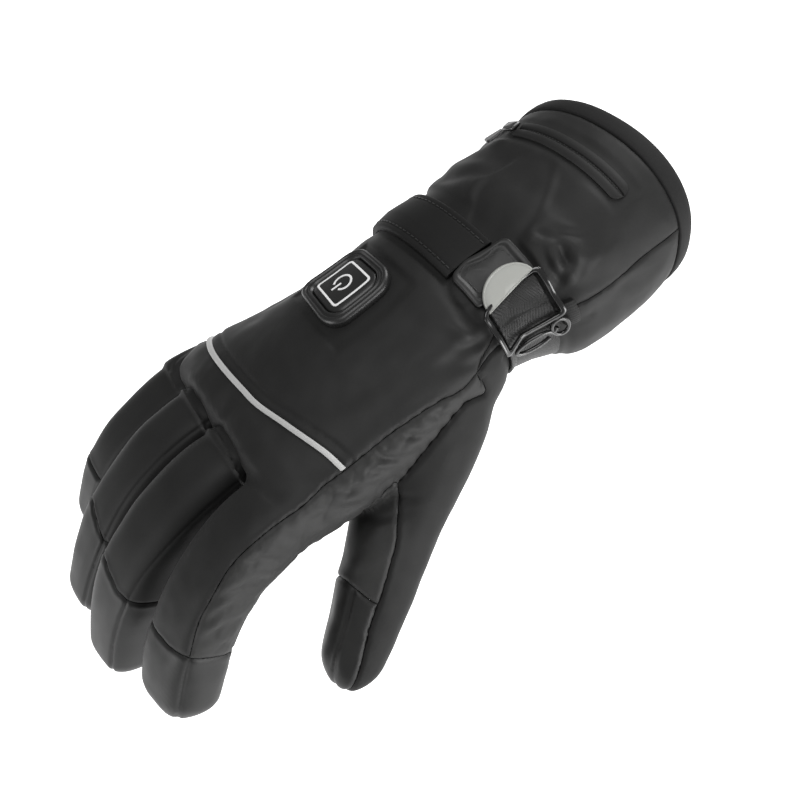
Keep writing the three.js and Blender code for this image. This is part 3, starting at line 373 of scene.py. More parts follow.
class Limb:
    """A tapering part of the hand along a bent path, with a rounded end."""

    start = 0.0
    end = 100.0
    tip = 10.0
    whole_tip = True
    grid_step = 1.5

    def frames(self, at: Array) -> Frames:
        """The path's frames."""
        raise NotImplementedError

    def sizes(self, at: Array) -> dict[str, Array]:
        """The section's sizes before the tip's rounding."""
        raise NotImplementedError

    def relief(self, at: Array, angle: Array) -> Array:
        """How far folds lift the surface."""
        return np.zeros(np.broadcast(at, angle).shape)

    def section(self, at: Array) -> dict[str, Array]:
        """The section's sizes with the tip's rounding.

        Args:
            at: distances along the path.

        Returns:
            The sizes, and how much the tip shrinks them.
        """
        row = self.sizes(at)
        share = np.clip((at - (self.end - self.tip)) / self.tip, 0, 0.9995)
        shrink = np.sqrt(1 - share**2)
        row["back"] = row["back"] * shrink
        row["palm"] = row["palm"] * shrink
        if self.whole_tip:
            row["half"] = row["half"] * shrink
        row["shrink"] = shrink
        return row

    def point(self, at: Array, angle: Array, grow: Array | float = 0.0) -> Array:
        """Points on the surface, or off it.

        Args:
            at: distances along the path.
            angle: angles round the section, in degrees.
            grow: how far off the surface.

        Returns:
            One point for each pair.
        """
        at, angle, grow = (np.ravel(x).astype(float) for x in np.broadcast_arrays(at, angle, grow))
        row = self.section(at)
        grow = (grow + self.relief(at, angle)) * row["shrink"]
        cosine, sine = np.cos(np.radians(angle)), np.sin(np.radians(angle))
        power = 2 / row["square"]
        y = (row["half"] + grow) * np.sign(cosine) * np.abs(cosine) ** power
        z = (np.where(sine >= 0, row["back"], row["palm"]) + grow) * np.sign(sine) * np.abs(sine) ** power
        roll = np.radians(row["roll"])
        side = row["lean"] + y * np.cos(roll) - z * np.sin(roll)
        rise = row["rise"] + y * np.sin(roll) + z * np.cos(roll)
        return self.frames(at).outward(np.stack([np.zeros_like(side), side, rise], 1))

    def locate(self, points: Array) -> Chart:
        """Finds where points lie on the limb.

        Args:
            points: rows of x, y and z.

        Returns:
            Their chart.
        """
        grid = np.arange(self.start, self.end + self.grid_step, self.grid_step)
        frames = self.frames(grid)
        ahead = frames.turn[:, :, 0]
        base = (frames.place * ahead).sum(1)
        at = np.empty(len(points))
        over = np.empty(len(points))
        for first in range(0, len(points), 20000):
            part = slice(first, min(first + 20000, len(points)))
            past = points[part] @ ahead.T - base
            row = np.arange(len(past))
            k = np.clip((past > 0).sum(1), 1, len(grid) - 1)
            low, high = past[row, k - 1], past[row, k]
            share = np.clip(low / np.where(np.abs(low - high) < 1e-9, 1e-9, low - high), 0, 1)
            at[part] = grid[k - 1] + share * self.grid_step
            over[part] = np.maximum(past[:, -1], 0)
        at = np.minimum(at, self.end)
        row = self.section(at)
        local = self.frames(at).inward(points)
        roll = np.radians(row["roll"])
        y0, z0 = local[:, 1] - row["lean"], local[:, 2] - row["rise"]
        y = y0 * np.cos(roll) + z0 * np.sin(roll)
        z = z0 * np.cos(roll) - y0 * np.sin(roll)
        depth = np.maximum(np.where(z >= 0, row["back"], row["palm"]), 0.3)
        across = (np.abs(y) / np.maximum(row["half"], 0.3)) ** (row["square"] / 2)
        above = (np.abs(z) / depth) ** (row["square"] / 2)
        angle = np.degrees(np.arctan2(np.sign(z) * above, np.sign(y) * across)) % 360
        ratio = np.maximum((across**2 + above**2) ** (1 / row["square"]), 1e-3)
        radius = np.hypot(y, z)
        outside = radius * (1 - 1 / ratio)
        outside = np.where(over > 0, np.hypot(np.maximum(outside, 0), over), outside)
        return Chart(at, angle, outside, radius)

    def stations(self, first: float, spacing: float) -> Array:
        """Places for rings along the limb, closer together over its rounded end.

        Args:
            first: where the first ring is.
            spacing: how far apart the rings are.

        Returns:
            The places.
        """
        straight = self.end - self.tip
        body = np.linspace(first, straight, max(2, round((straight - first) / spacing)))
        turns = np.radians(np.linspace(0, 86, max(6, round(self.tip * 1.5 / spacing)))[1:])
        return np.concatenate([body, straight + self.tip * np.sin(turns)])

    def loft(self, first: float, spacing: float, points: int) -> tuple[Array, Array]:
        """The limb's closed outside as points and triangles.

        Args:
            first: where it starts.
            spacing: how far apart its rings are.
            points: how many points are in a ring.

        Returns:
            The points and the triangles.
        """
        at = self.stations(first, spacing)
        angle = np.arange(points) * 360 / points
        rings = self.point(at[:, None], angle[None, :]).reshape(len(at), points, 3)
        return closed_loft(rings)


def closed_loft(rings: Array, looped: bool = False) -> tuple[Array, Array]:
    """Skins rings that follow each other.

    Args:
        rings: an array of rings of points.
        looped: whether the last ring joins the first; if not, fans close the two ends.

    Returns:
        The points and the triangles, facing out for rings that turn from the side over the back.
    """
    count, size, _ = rings.shape
    points = rings.reshape(-1, 3)
    i = np.arange(count if looped else count - 1)[:, None] * size
    j = np.arange(size)[None, :]
    a = (i + j).ravel()
    b = (i + (j + 1) % size).ravel()
    c, d = (a + size) % (count * size), (b + size) % (count * size)
    faces = np.concatenate([np.stack([a, b, c], 1), np.stack([b, d, c], 1)])
    if not looped:
        middles = np.stack([rings[0].mean(0), rings[-1].mean(0)])
        ring = np.arange(size)
        after = (ring + 1) % size
        low, high = np.full(size, len(points)), np.full(size, len(points) + 1)
        last = (count - 1) * size
        faces = np.concatenate([faces, np.stack([low, after, ring], 1),
                                np.stack([high, last + ring, last + after], 1)])
        points = np.concatenate([points, middles])
    return points, faces


def solid(rings: Array | list[Array], looped: bool = False) -> tuple[Array, Array]:
    """Skins rings that may turn either way, with the faces outwards.

    Args:
        rings: rings of points.
        looped: whether the last ring joins the first.

    Returns:
        The points and the triangles.
    """
    points, faces = closed_loft(np.array(rings), looped)
    a, b, c = (points[faces[:, k]] - points.mean(0) for k in range(3))
    return points, faces if np.einsum("ni,ni->", a, np.cross(b, c)) > 0 else faces[:, ::-1]


class Sleeve(Limb):
    """The cuff (reaches under zero) and the hand (reaches over zero)."""

    start = -CUFF.length - 4
    end = HAND.length
    tip = HAND.knuckle_round
    whole_tip = False

    def __init__(self) -> None:
        """Sets out the hand's path."""
        flexion, deviation = HAND.flexion, HAND.deviation
        turn = math.hypot(flexion, deviation)
        axis = (0.0, flexion / turn, -deviation / turn)
        self.arcs = (Arc(HAND.bend_length, turn, axis), Arc(HAND.length, 0.0))

    def frames(self, at: Array) -> Frames:
        """The path's frames, slanting on the cuff and bent on the hand.

        Args:
            at: reaches.

        Returns:
            The frames there.
        """
        at = np.asarray(at, float)
        slant = CUFF_SECTIONS.column("slant", -at / CUFF.length) * (at < 0)
        step = np.stack([np.minimum(at, 0), np.zeros_like(at), np.zeros_like(at)], 1)
        cuff = Frames.still(len(at)).moved(step)
        cuff = cuff.turned((0, 1, 0), -CUFF.slant * slant).turned((0, 0, 1), CUFF.skew * slant)
        hand = walk(Frames.still(len(at)), self.arcs, np.maximum(at, 0))
        on_cuff = at < 0
        return Frames(np.where(on_cuff[:, None, None], cuff.turn, hand.turn),
                      np.where(on_cuff[:, None], cuff.place, hand.place))

    def sizes(self, at: Array) -> dict[str, Array]:
        """The section's sizes from the cuff's table or the hand's.

        Args:
            at: reaches.

        Returns:
            Half, back, palm, lean, rise, roll and square.
        """
        at = np.asarray(at, float)
        cuff = CUFF_SECTIONS.read(-at / CUFF.length)
        hand = HAND_SECTIONS.read(at / HAND.length)
        cuff["roll"] = np.zeros_like(at)
        width = np.where(at < 0, CUFF.width, HAND.width)
        depth = np.where(at < 0, CUFF.depth, HAND.depth)
        row = {k: np.where(at < 0, cuff[k], hand[k]) for k in hand}
        return {"half": row["width"] * width / 2, "back": row["back"] * depth, "palm": row["palm"] * depth,
                "lean": row["lean"] * width, "rise": row["rise"] * depth, "roll": row["roll"],
                "square": row["square"]}

    def relief(self, at: Array, angle: Array) -> Array:
        """How far the broad folds lift the surface.

        Args:
            at: reaches.
            angle: angles round the section.

        Returns:
            The lift in millimetres.
        """
        total = np.zeros(np.broadcast(at, angle).shape)
        for place, middle, along, across, turn, rise in FOLDS:
            u = at - place * (CUFF.length if place < 0 else HAND.length)
            v = np.radians(wrap(angle - middle)) * (CUFF.width + CUFF.depth) / 4
            c, s = math.cos(math.radians(turn)), math.sin(math.radians(turn))
            spread = ((u * c + v * s) / (along * HAND.width)) ** 2
            spread = spread + ((v * c - u * s) / (across * HAND.width)) ** 2
            total = total + rise * CUFF.wall * np.exp(-spread)
        return total


class Finger(Limb):
    """A finger or the thumb, rooted in the hand."""

    hidden_share = 0.75

    def __init__(self, sleeve: Sleeve, digit: Digit, taper: Table) -> None:
        """Sets out the finger's path.

        Args:
            sleeve: the hand that it grows from.
            digit: its sizes.
            taper: how its section changes.
        """
        self.digit = digit
        self.taper = taper
        self.start = -self.hidden_share * digit.inset
        self.end = digit.inset + digit.length
        self.tip = digit.tip
        root = sleeve.frames(np.array([digit.root * HAND.length - digit.set_back]))
        root = root.moved(np.array([0, digit.side * HAND.width, digit.rise * HAND.depth]))
        root = root.turned((0, 0, 1), digit.splay).turned((0, 1, 0), digit.tilt)
        self.root = root.turned((1, 0, 0), digit.roll)
        bones = zip((0.34, 0.32, 0.34), digit.bends)
        self.arcs = (Arc(digit.inset), *(Arc(share * digit.length, bend) for share, bend in bones))

    def frames(self, at: Array) -> Frames:
        """The path's frames, bent at the joints of the finger.

        Args:
            at: distances along the finger.

        Returns:
            The frames there.
        """
        count = len(at)
        start = Frames(np.tile(self.root.turn[0], (count, 1, 1)), np.tile(self.root.place[0], (count, 1)))
        return walk(start, self.arcs, at)

    def sizes(self, at: Array) -> dict[str, Array]:
        """The section's sizes from the taper.

        Args:
            at: distances along the finger.

        Returns:
            Half, back, palm, lean, rise, roll and square.
        """
        row = self.taper.read((np.asarray(at, float) - self.digit.inset) / self.digit.length)
        zero = np.zeros_like(row["width"])
        width, depth = self.digit.width * self.digit.thick, self.digit.width * self.digit.deep
        return {"half": row["width"] * width / 2, "back": row["back"] * depth, "palm": row["palm"] * depth,
                "lean": zero, "rise": zero, "roll": zero, "square": row["square"]}

    def cap_at(self, angle: Array) -> Array:
        """Where the tip cap's seam is.

        Args:
            angle: angles round the finger.

        Returns:
            Distances along the finger.
        """
        angles, places = zip(*self.digit.cap_line)
        first = angles[0]
        return np.interp((angle - first) % 360 + first, angles, places)


# Skins: meshes that are cut along seams and divided into panels


def sides(faces: Array) -> Array:
    """The sides of triangles, as rows of two point numbers."""
    return np.concatenate([faces[:, [0, 1]], faces[:, [1, 2]], faces[:, [2, 0]]])


@dataclass
class Skin:
    """A triangle mesh that seams are cut into: rows of x, y and z, and rows of three point numbers."""

    points: Array
    faces: Array

    def normals(self) -> Array:
        """The outward direction at each point.

        Returns:
            Unit vectors.
        """
        a, b, c = (self.points[self.faces[:, k]] for k in range(3))
        flat = np.cross(b - a, c - a)
        total = np.zeros_like(self.points)
        for axis in range(3):
            for corner in range(3):
                total[:, axis] += np.bincount(self.faces[:, corner], flat[:, axis], len(self.points))
        return unit(total)

    def shared_edges(self) -> tuple[Array, Array, Array]:
        """Finds the edges that have a triangle on either side.

        Returns:
            Rows of two point numbers, and the numbers of the triangles on the two sides.
        """
        pairs = np.sort(sides(self.faces), 1)
        owner = np.tile(np.arange(len(self.faces)), 3)
        key = pairs[:, 0].astype(np.int64) * len(self.points) + pairs[:, 1]
        order = np.argsort(key, kind="stable")
        pairs, owner, key = pairs[order], owner[order], key[order]
        same = key[1:] == key[:-1]
        return pairs[1:][same], owner[:-1][same], owner[1:][same]

    def smooth(self, passes: int, weight: Array | float = 0.5) -> None:
        """Evens the surface out.

        Args:
            passes: how many times.
            weight: how far each point goes towards its neighbours' middle.
        """
        edges = np.unique(np.sort(sides(self.faces), 1), axis=0)
        count = len(self.points)
        degree = np.bincount(edges.ravel(), minlength=count)
        weight = np.broadcast_to(weight, count)[:, None]
        for _ in range(passes):
            middle = np.stack([
                np.bincount(edges[:, 0], self.points[edges[:, 1], k], count)
                + np.bincount(edges[:, 1], self.points[edges[:, 0], k], count)
                for k in range(3)], 1) / np.maximum(degree, 1)[:, None]
            self.points = self.points + weight * (middle - self.points)

    def cut(self, values: Array, snap: float = 0.12, jump: float = 9.0) -> Array:
        """Divides the triangles along the line where the values pass zero.

        Args:
            values: one value for each point, in millimetres from the line.
            snap: points closer than this count as on the line.
            jump: edges whose values differ by more than this aren't cut.

        Returns:
            For each new point, the two old points it lies between and its share of the way.
        """
        values = np.where(np.abs(values) < snap, 0.0, values)
        faces = self.faces
        crossing = np.stack([
            (values[faces[:, i]] * values[faces[:, j]] < 0)
            & (np.abs(values[faces[:, i]] - values[faces[:, j]]) < jump)
            for i, j in ((0, 1), (1, 2), (2, 0))], 1)
        count = crossing.sum(1)
        kept = faces[(count == 0) | (count == 3)]
        one, two = faces[count == 1], faces[count == 2]
        turn_one = (np.argmax(crossing[count == 1], 1) + 2) % 3
        turn_two = (np.argmin(crossing[count == 2], 1) + 2) % 3
        order = np.arange(3)
        one = np.take_along_axis(one, (turn_one[:, None] + order) % 3, 1)
        two = np.take_along_axis(two, (turn_two[:, None] + order) % 3, 1)
        pairs = np.sort(np.concatenate([one[:, [1, 2]], two[:, [0, 1]], two[:, [0, 2]]]), 1)
        if not len(pairs):
            return np.zeros((0, 3))
        made, inverse = np.unique(pairs, axis=0, return_inverse=True)
        number = inverse.ravel() + len(self.points)
        share = values[made[:, 0]] / (values[made[:, 0]] - values[made[:, 1]])
        fresh = self.points[made[:, 0]] * (1 - share[:, None]) + self.points[made[:, 1]] * share[:, None]
        m = number[: len(one)]
        first = number[len(one): len(one) + len(two)]
        second = number[len(one) + len(two):]
        self.faces = np.concatenate([
            kept,
            np.stack([one[:, 0], one[:, 1], m], 1), np.stack([one[:, 0], m, one[:, 2]], 1),
            np.stack([two[:, 0], first, second], 1),
            np.stack([first, two[:, 1], two[:, 2]], 1), np.stack([first, two[:, 2], second], 1)])
        self.points = np.concatenate([self.points, fresh])
        return np.concatenate([made, share[:, None]], 1)

    def cut_all(self, fields: dict[str, Array]) -> None:
        """Cuts along each field's zero line in turn.

        Args:
            fields: values for each point under each field's name.
        """
        for name in list(fields):
            made = self.cut(fields[name])
            if not len(made):
                continue
            low, high, share = made[:, 0].astype(int), made[:, 1].astype(int), made[:, 2]
            for other, values in fields.items():
                mixed = values[low] * (1 - share) + values[high] * share
                fields[other] = np.concatenate([values, mixed])

    def seam_points(self, regions: Array) -> Array:
        """Points where panels meet."""
        pairs, one, other = self.shared_edges()
        return np.unique(pairs[regions[one] != regions[other]])

    def tidy_regions(self, regions: Array, rounds: int = 5) -> Array:
        """Gives lone triangles to the panel around them.

        Args:
            regions: each triangle's panel number.
            rounds: how many times.

        Returns:
            The tidied numbers.
        """
        _, a, b = self.shared_edges()
        regions = regions.copy()
        for _ in range(rounds):
            votes = np.zeros((len(self.faces), regions.max() + 1), np.int8)
            np.add.at(votes, (a, regions[b]), 1)
            np.add.at(votes, (b, regions[a]), 1)
            best = votes.argmax(1)
            lost = (votes[np.arange(len(best)), best] >= 2) & (best != regions)
            if not lost.any():
                break
            regions[lost] = best[lost]
        return regions


def distance_to(points: Array, marks: Array, limit: float = 30.0) -> Array:
    """How far points are from the nearest mark.

    Args:
        points: rows of x, y and z.
        marks: the marks' places.
        limit: the most that is told.

    Returns:
        Distances.
    """
    if not len(marks):
        return np.full(len(points), limit)
    tree = kdtree.KDTree(len(marks))
    for i, mark in enumerate(marks):
        tree.insert(mark, i)
    tree.balance()
    return np.minimum([tree.find(p)[2] for p in points], limit)


def rough(points: Array, scale: float, seed: float = 0.0) -> Array:
    """Smooth noise in space."""
    moved = points / scale + seed
    return np.array([noise.noise(Vector(p)) for p in moved])


def close_panel(points: Array, faces: Array, normals: Array, wall: float,
                clearance: float) -> tuple[Array, Array]:
    """Gives a panel its thickness, and pulls its edge in by half a seam's gap.

    Args:
        points: the whole skin's points.
        faces: the panel's own triangles.
        normals: the skin's outward directions.
        wall: how thick the panel is.
        clearance: how far its edge is pulled in.

    Returns:
        The closed panel's points and triangles.
    """
    used, inverse = np.unique(faces, return_inverse=True)
    faces = inverse.reshape(-1, 3)
    outer, up = points[used].copy(), normals[used]
    directed = sides(faces)
    key = directed[:, 0].astype(np.int64) * len(used) + directed[:, 1]
    back = directed[:, 1].astype(np.int64) * len(used) + directed[:, 0]
    rim = directed[~np.isin(key, back)]
    along = unit(outer[rim[:, 1]] - outer[rim[:, 0]])
    pull = np.zeros_like(outer)
    inward = np.cross(up[rim[:, 0]], along)
    for k in range(3):
        pull[:, k] += np.bincount(rim[:, 0], inward[:, k], len(outer))
        pull[:, k] += np.bincount(rim[:, 1], inward[:, k], len(outer))
    edge = np.unique(rim)
    outer[edge] += clearance * unit(pull[edge])
    inner = outer - wall * up
    size = len(outer)
    walls = np.concatenate([
        np.stack([rim[:, 1], rim[:, 0], rim[:, 0] + size], 1),
        np.stack([rim[:, 1], rim[:, 0] + size, rim[:, 1] + size], 1)])
    return np.concatenate([outer, inner]), np.concatenate([faces, faces[:, ::-1] + size, walls])


# Finishes


class Surface(Enum):
    """The kinds of surface that a finish can have."""

    WOVEN = "woven"
    GRAIN = "grain"
    RIBBED = "ribbed"
    CHEVRON = "chevron"
    SMOOTH = "smooth"


@dataclass(frozen=True)
class Finish:
    """A procedural finish: its colours, gloss and fine surface."""

    name: str
    slot: str
    color: tuple[float, float, float]
    surface: Surface
    roughness: float = 0.7
    spread: float = 0.08
    variation: float = 0.18
    scale: float = 1.0
    bump: float = 0.25
    depth: float = 0.12
    sheen: float = 0.0
    coat: float = 0.0
    metallic: float = 0.0
    specular: float = 0.5
    sheen_roughness: float = 0.45
    coat_roughness: float = 0.15
    broad_scale: float = 90.0
    fine_scale: float = 900.0
    fine_share: float = 0.35
    chevron: float = 7.6
    rib: float = 1.05
    strand: float = 0.55

    def build(self) -> bpy.types.Material:
        """Makes the material.

        Returns:
            The material, made once for each name.
        """
        made = bpy.data.materials.get(self.name)
        if made:
            return made
        material = bpy.data.materials.new(self.name)
        material.use_nodes = True
        kit = NodeKit(material.node_tree)
        shader = material.node_tree.nodes["Principled BSDF"]
        for socket, value in {
            "Metallic": self.metallic, "Specular IOR Level": self.specular, "Sheen Weight": self.sheen,
            "Sheen Roughness": self.sheen_roughness, "Sheen Tint": (1, 1, 1, 1), "Coat Weight": self.coat,
            "Coat Roughness": self.coat_roughness,
        }.items():
            shader.inputs[socket].default_value = value
        space = kit.add("TexCoord", "Object", {})
        broad = kit.noise(space, self.broad_scale, 3.0)
        fine = kit.noise(space, self.fine_scale, 2.0)
        light = tuple(min(1.0, c * (1 + self.variation)) for c in self.color)
        dark = tuple(c * (1 - self.variation) for c in self.color)
        shade = kit.ramp(kit.mix(broad, fine, self.fine_share), (0.3, (*dark, 1)), (0.7, (*light, 1)))
        gloss = kit.ranged(broad, self.roughness - self.spread, self.roughness + self.spread)
        height = self.height(kit, space, fine)
        relief = {"Strength": self.bump, "Distance": self.depth * METRES, "Height": height}
        for source, target in ((shade, "Base Color"), (gloss, "Roughness"),
                               (kit.add("Bump", "Normal", relief), "Normal")):
            material.node_tree.links.new(source, shader.inputs[target])
        return material

    def height(self, kit: NodeKit, space: Socket, fine: Socket) -> Socket:
        """The fine surface's height.

        Args:
            kit: the material's nodes.
            space: the object's own coordinates.
            fine: fine noise.

        Returns:
            A socket with the height.
        """
        per_metre = 1000.0 / self.scale
        if self.surface is Surface.GRAIN:
            sizes = {"Vector": space, "Scale": per_metre, "Randomness": 1.0}
            cells = kit.add("TexVoronoi", "Distance", sizes, feature="DISTANCE_TO_EDGE")
            return kit.mix(kit.ranged(cells, 0.0, 0.22, "From"), fine, self.fine_share)
        if self.surface is Surface.WOVEN:
            warp = kit.wave(space, per_metre, "X", 0.6)
            weft = kit.wave(space, per_metre, "Z", 0.6)
            over = kit.wave(space, per_metre * 0.72, "DIAGONAL", 0.4)
            return kit.mix(kit.math("MAXIMUM", warp, weft), kit.mix(over, fine, 0.4), 0.5)
        if self.surface in (Surface.RIBBED, Surface.CHEVRON):
            flat = kit.add("SeparateXYZ", "X", {0: kit.add("UVMap", "UV", {}, uv_map="cloth")})
            along, across = flat, flat.node.outputs["Y"]
            if self.surface is Surface.CHEVRON:
                zigzag = kit.math("PINGPONG", along, self.chevron * self.scale)
                along, across = kit.math("ADD", across, kit.math("MULTIPLY", zigzag, 0.45)), along
            wave = kit.math("SINE", kit.math("MULTIPLY", along, 2 * math.pi / (self.rib * self.scale)))
            threads = kit.math("SINE", kit.math("MULTIPLY", across, 2 * math.pi / (self.strand * self.scale)))
            total = kit.math("ADD", wave, kit.math("MULTIPLY", threads, 0.35))
            return kit.mix(kit.ranged(total, 0.3, 0.7), fine, 0.2)
        return fine


@dataclass
class NodeKit:
    """Short ways to make the nodes of a material's tree."""

    tree: bpy.types.NodeTree

    def add(self, kind: str, output: str | int, inputs: dict, **settings: object) -> Socket:
        """Adds a node.

        Args:
            kind: the node's type.
            output: which output is wanted.
            inputs: a value or another node's output for each input.
            settings: the node's own settings.

        Returns:
            The output.
        """
        made = self.tree.nodes.new(f"ShaderNode{kind}")
        for name, value in settings.items():
            setattr(made, name, value)
        for name, value in inputs.items():
            if isinstance(value, Socket):
                self.tree.links.new(value, made.inputs[name])
            else:
                made.inputs[name].default_value = value
        return made.outputs[output]

    def noise(self, space: Socket, scale: float, detail: float) -> Socket:
        """Noise with so many bumps in a metre and so many octaves."""
        return self.add("TexNoise", "Fac", {"Vector": space, "Scale": scale, "Detail": detail})

    def wave(self, space: Socket, per_metre: float, way: str, wavy: float) -> Socket:
        """Bands, so many in a metre, that follow each other one way."""
        sizes = {"Vector": space, "Scale": per_metre / 20 * 2 * math.pi, "Distortion": wavy}
        return self.add("TexWave", "Fac", sizes, wave_type="BANDS", bands_direction=way)

    def math(self, kind: str, first: Socket, *second: Socket | float) -> Socket:
        """A sum of one kind on one or two values."""
        return self.add("Math", 0, dict(enumerate((first, *second))), operation=kind)

    def ranged(self, value: Socket, low: float, high: float, end: str = "To") -> Socket:
        """A value mapped from 0..1 to a range, or from a range to 0..1 where the end is "From"."""
        return self.add("MapRange", "Result", {"Value": value, f"{end} Min": low, f"{end} Max": high})

    def mix(self, first: Socket, second: Socket, share: float) -> Socket:
        """Two values mixed, with a share of the second."""
        return self.add("Mix", "Result", {"Factor": share, "A": first, "B": second}, data_type="FLOAT")

    def ramp(self, value: Socket, *stops: tuple[float, tuple]) -> Socket:
        """A value turned into a colour.

        Args:
            value: the value.
            stops: places and their colours.

        Returns:
            The colour.
        """
        shade = self.add("ValToRGB", "Color", {"Fac": value})
        for element, (place, color) in zip(shade.node.color_ramp.elements, stops):
            element.position, element.color = place, color
        return shade


SHELL = Finish("shell_cloth", "shell_fabric", (0.0085, 0.0085, 0.0083), Surface.WOVEN, 0.6, sheen=0.02,
               scale=0.55, bump=0.1, depth=0.06, specular=0.26)
STRETCH = Finish("stretch_twill", "stretch_panel", (0.014, 0.014, 0.0136), Surface.WOVEN, 0.6, sheen=0.03,
                 scale=0.5, bump=0.12, depth=0.06, specular=0.3)
PALM = Finish("palm_grain", "palm_leather", (0.0065, 0.0065, 0.0063), Surface.GRAIN, 0.62, scale=0.8,
              bump=0.15, depth=0.06, specular=0.2)
CAP = Finish("cap_grain", "cap_leather", (0.0075, 0.0075, 0.0073), Surface.GRAIN, 0.5, scale=0.7, bump=0.1,
             depth=0.05, specular=0.3)
PATCH = Finish("patch_grain", "cap_leather", (0.011, 0.011, 0.0108), Surface.GRAIN, 0.45, scale=0.7, bump=0.1,
               depth=0.05, specular=0.4)
BINDING = Finish("binding_tape", "edge_binding", (0.0095, 0.0094, 0.0094), Surface.RIBBED, 0.7,
                 bump=0.3, specular=0.22)
PIPING = Finish("piping_cloth", "reflective", (0.4, 0.4, 0.395), Surface.WOVEN, 0.5, variation=0.05,
                scale=0.4, bump=0.1)
STRAP = Finish("strap_cloth", "strap_fabric", (0.0065, 0.0065, 0.0063), Surface.WOVEN, 0.65, scale=0.6,
               bump=0.12, depth=0.06, specular=0.2)
WEBBING = Finish("webbing_weave", "webbing", (0.009, 0.009, 0.0088), Surface.CHEVRON, 0.5, bump=1.0,
                 depth=0.5, specular=0.4)
RIBBON = Finish("ribbon_weave", "webbing", (0.008, 0.008, 0.0078), Surface.RIBBED, 0.6, bump=0.9, depth=0.3,
                specular=0.25)
PLASTIC = Finish("buckle_plastic", "plastic", (0.006, 0.006, 0.006), Surface.SMOOTH, 0.2, 0.05, bump=0.03,
                 coat=0.5)
LABEL = Finish("label_plate_satin", "pale_label", (0.28, 0.284, 0.266), Surface.SMOOTH, 0.5, variation=0.03,
               bump=0.03)
RUBBER = Finish("button_rubber", "rubber", (0.008, 0.008, 0.008), Surface.SMOOTH, 0.4, variation=0.1,
                bump=0.06)
PRINT = Finish("white_mark", "white_print", (0.75, 0.75, 0.75), Surface.SMOOTH, 0.5, variation=0.02,
               bump=0.02)
METAL = Finish("dark_plating", "dark_metal", (0.14, 0.14, 0.14), Surface.SMOOTH, 0.35, metallic=1.0,
               bump=0.05)
THREAD = Finish("thread", "strap_fabric", (0.011, 0.011, 0.0108), Surface.SMOOTH, 0.5, bump=0.2)


def make_piece(name: str, points: Array, faces: Array, finish: Finish, replaced: Sequence[str] = (),
               uv: Array | None = None, sharp: float = 50.0, fill: float | None = None) -> bpy.types.Object:
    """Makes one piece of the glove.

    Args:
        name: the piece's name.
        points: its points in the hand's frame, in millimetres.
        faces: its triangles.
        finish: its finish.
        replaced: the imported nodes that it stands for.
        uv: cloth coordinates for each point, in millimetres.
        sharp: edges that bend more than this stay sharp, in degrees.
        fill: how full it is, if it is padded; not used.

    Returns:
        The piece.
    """
    mesh = bpy.data.meshes.new(name)
    placed = points * np.array([-1, -1, 1]) * METRES
    mesh.vertices.add(len(placed))
    mesh.vertices.foreach_set("co", placed.astype(np.float32).ravel())
    mesh.loops.add(len(faces) * 3)
    mesh.loops.foreach_set("vertex_index", faces.astype(np.int32).ravel())
    mesh.polygons.add(len(faces))
    mesh.polygons.foreach_set("loop_start", np.arange(0, len(faces) * 3, 3, dtype=np.int32))
    mesh.polygons.foreach_set("use_smooth", np.ones(len(faces), bool))
    mesh.update(calc_edges=True)
    mesh.validate()
    if uv is not None:
        layer = mesh.uv_layers.new(name="cloth")
        corner_points = np.empty(len(mesh.loops), np.int32)
        mesh.loops.foreach_get("vertex_index", corner_points)
        layer.data.foreach_set("uv", uv[corner_points].astype(np.float32).ravel())
    mesh.set_sharp_from_angle(angle=math.radians(sharp))
    mesh.materials.append(finish.build())
    piece = bpy.data.objects.new(name, mesh)
    bpy.context.scene.collection.objects.link(piece)
    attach(piece, "root")
    if replaced:
        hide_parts(*replaced)
    log.info("%s: %d points, %d triangles", name, len(points), len(faces))
    return piece


# The hand's skin


class Panel(Enum):
    """The panels of the hand and the cuff, by the name of the node that each one replaces."""

    CUFF_BACK = "cuff_back"
    CUFF_PALM = "cuff_palm"
    BACK = "back_panel"
    KNUCKLE = "knuckle_panel"
    GUSSET = "side_gusset"
    PALM = "palm_panel"
    INDEX_STALL = "index_stall"
    INDEX_CAP = "index_cap"
    THUMB_STALL = "thumb_stall"
    THUMB_CAP = "thumb_cap"
    NONE = "none"


PANEL_FINISH = {
    Panel.CUFF_BACK: SHELL, Panel.CUFF_PALM: SHELL, Panel.BACK: SHELL, Panel.KNUCKLE: SHELL,
    Panel.GUSSET: STRETCH, Panel.PALM: PALM, Panel.INDEX_STALL: PALM, Panel.INDEX_CAP: CAP,
    Panel.THUMB_STALL: STRETCH, Panel.THUMB_CAP: CAP,
}

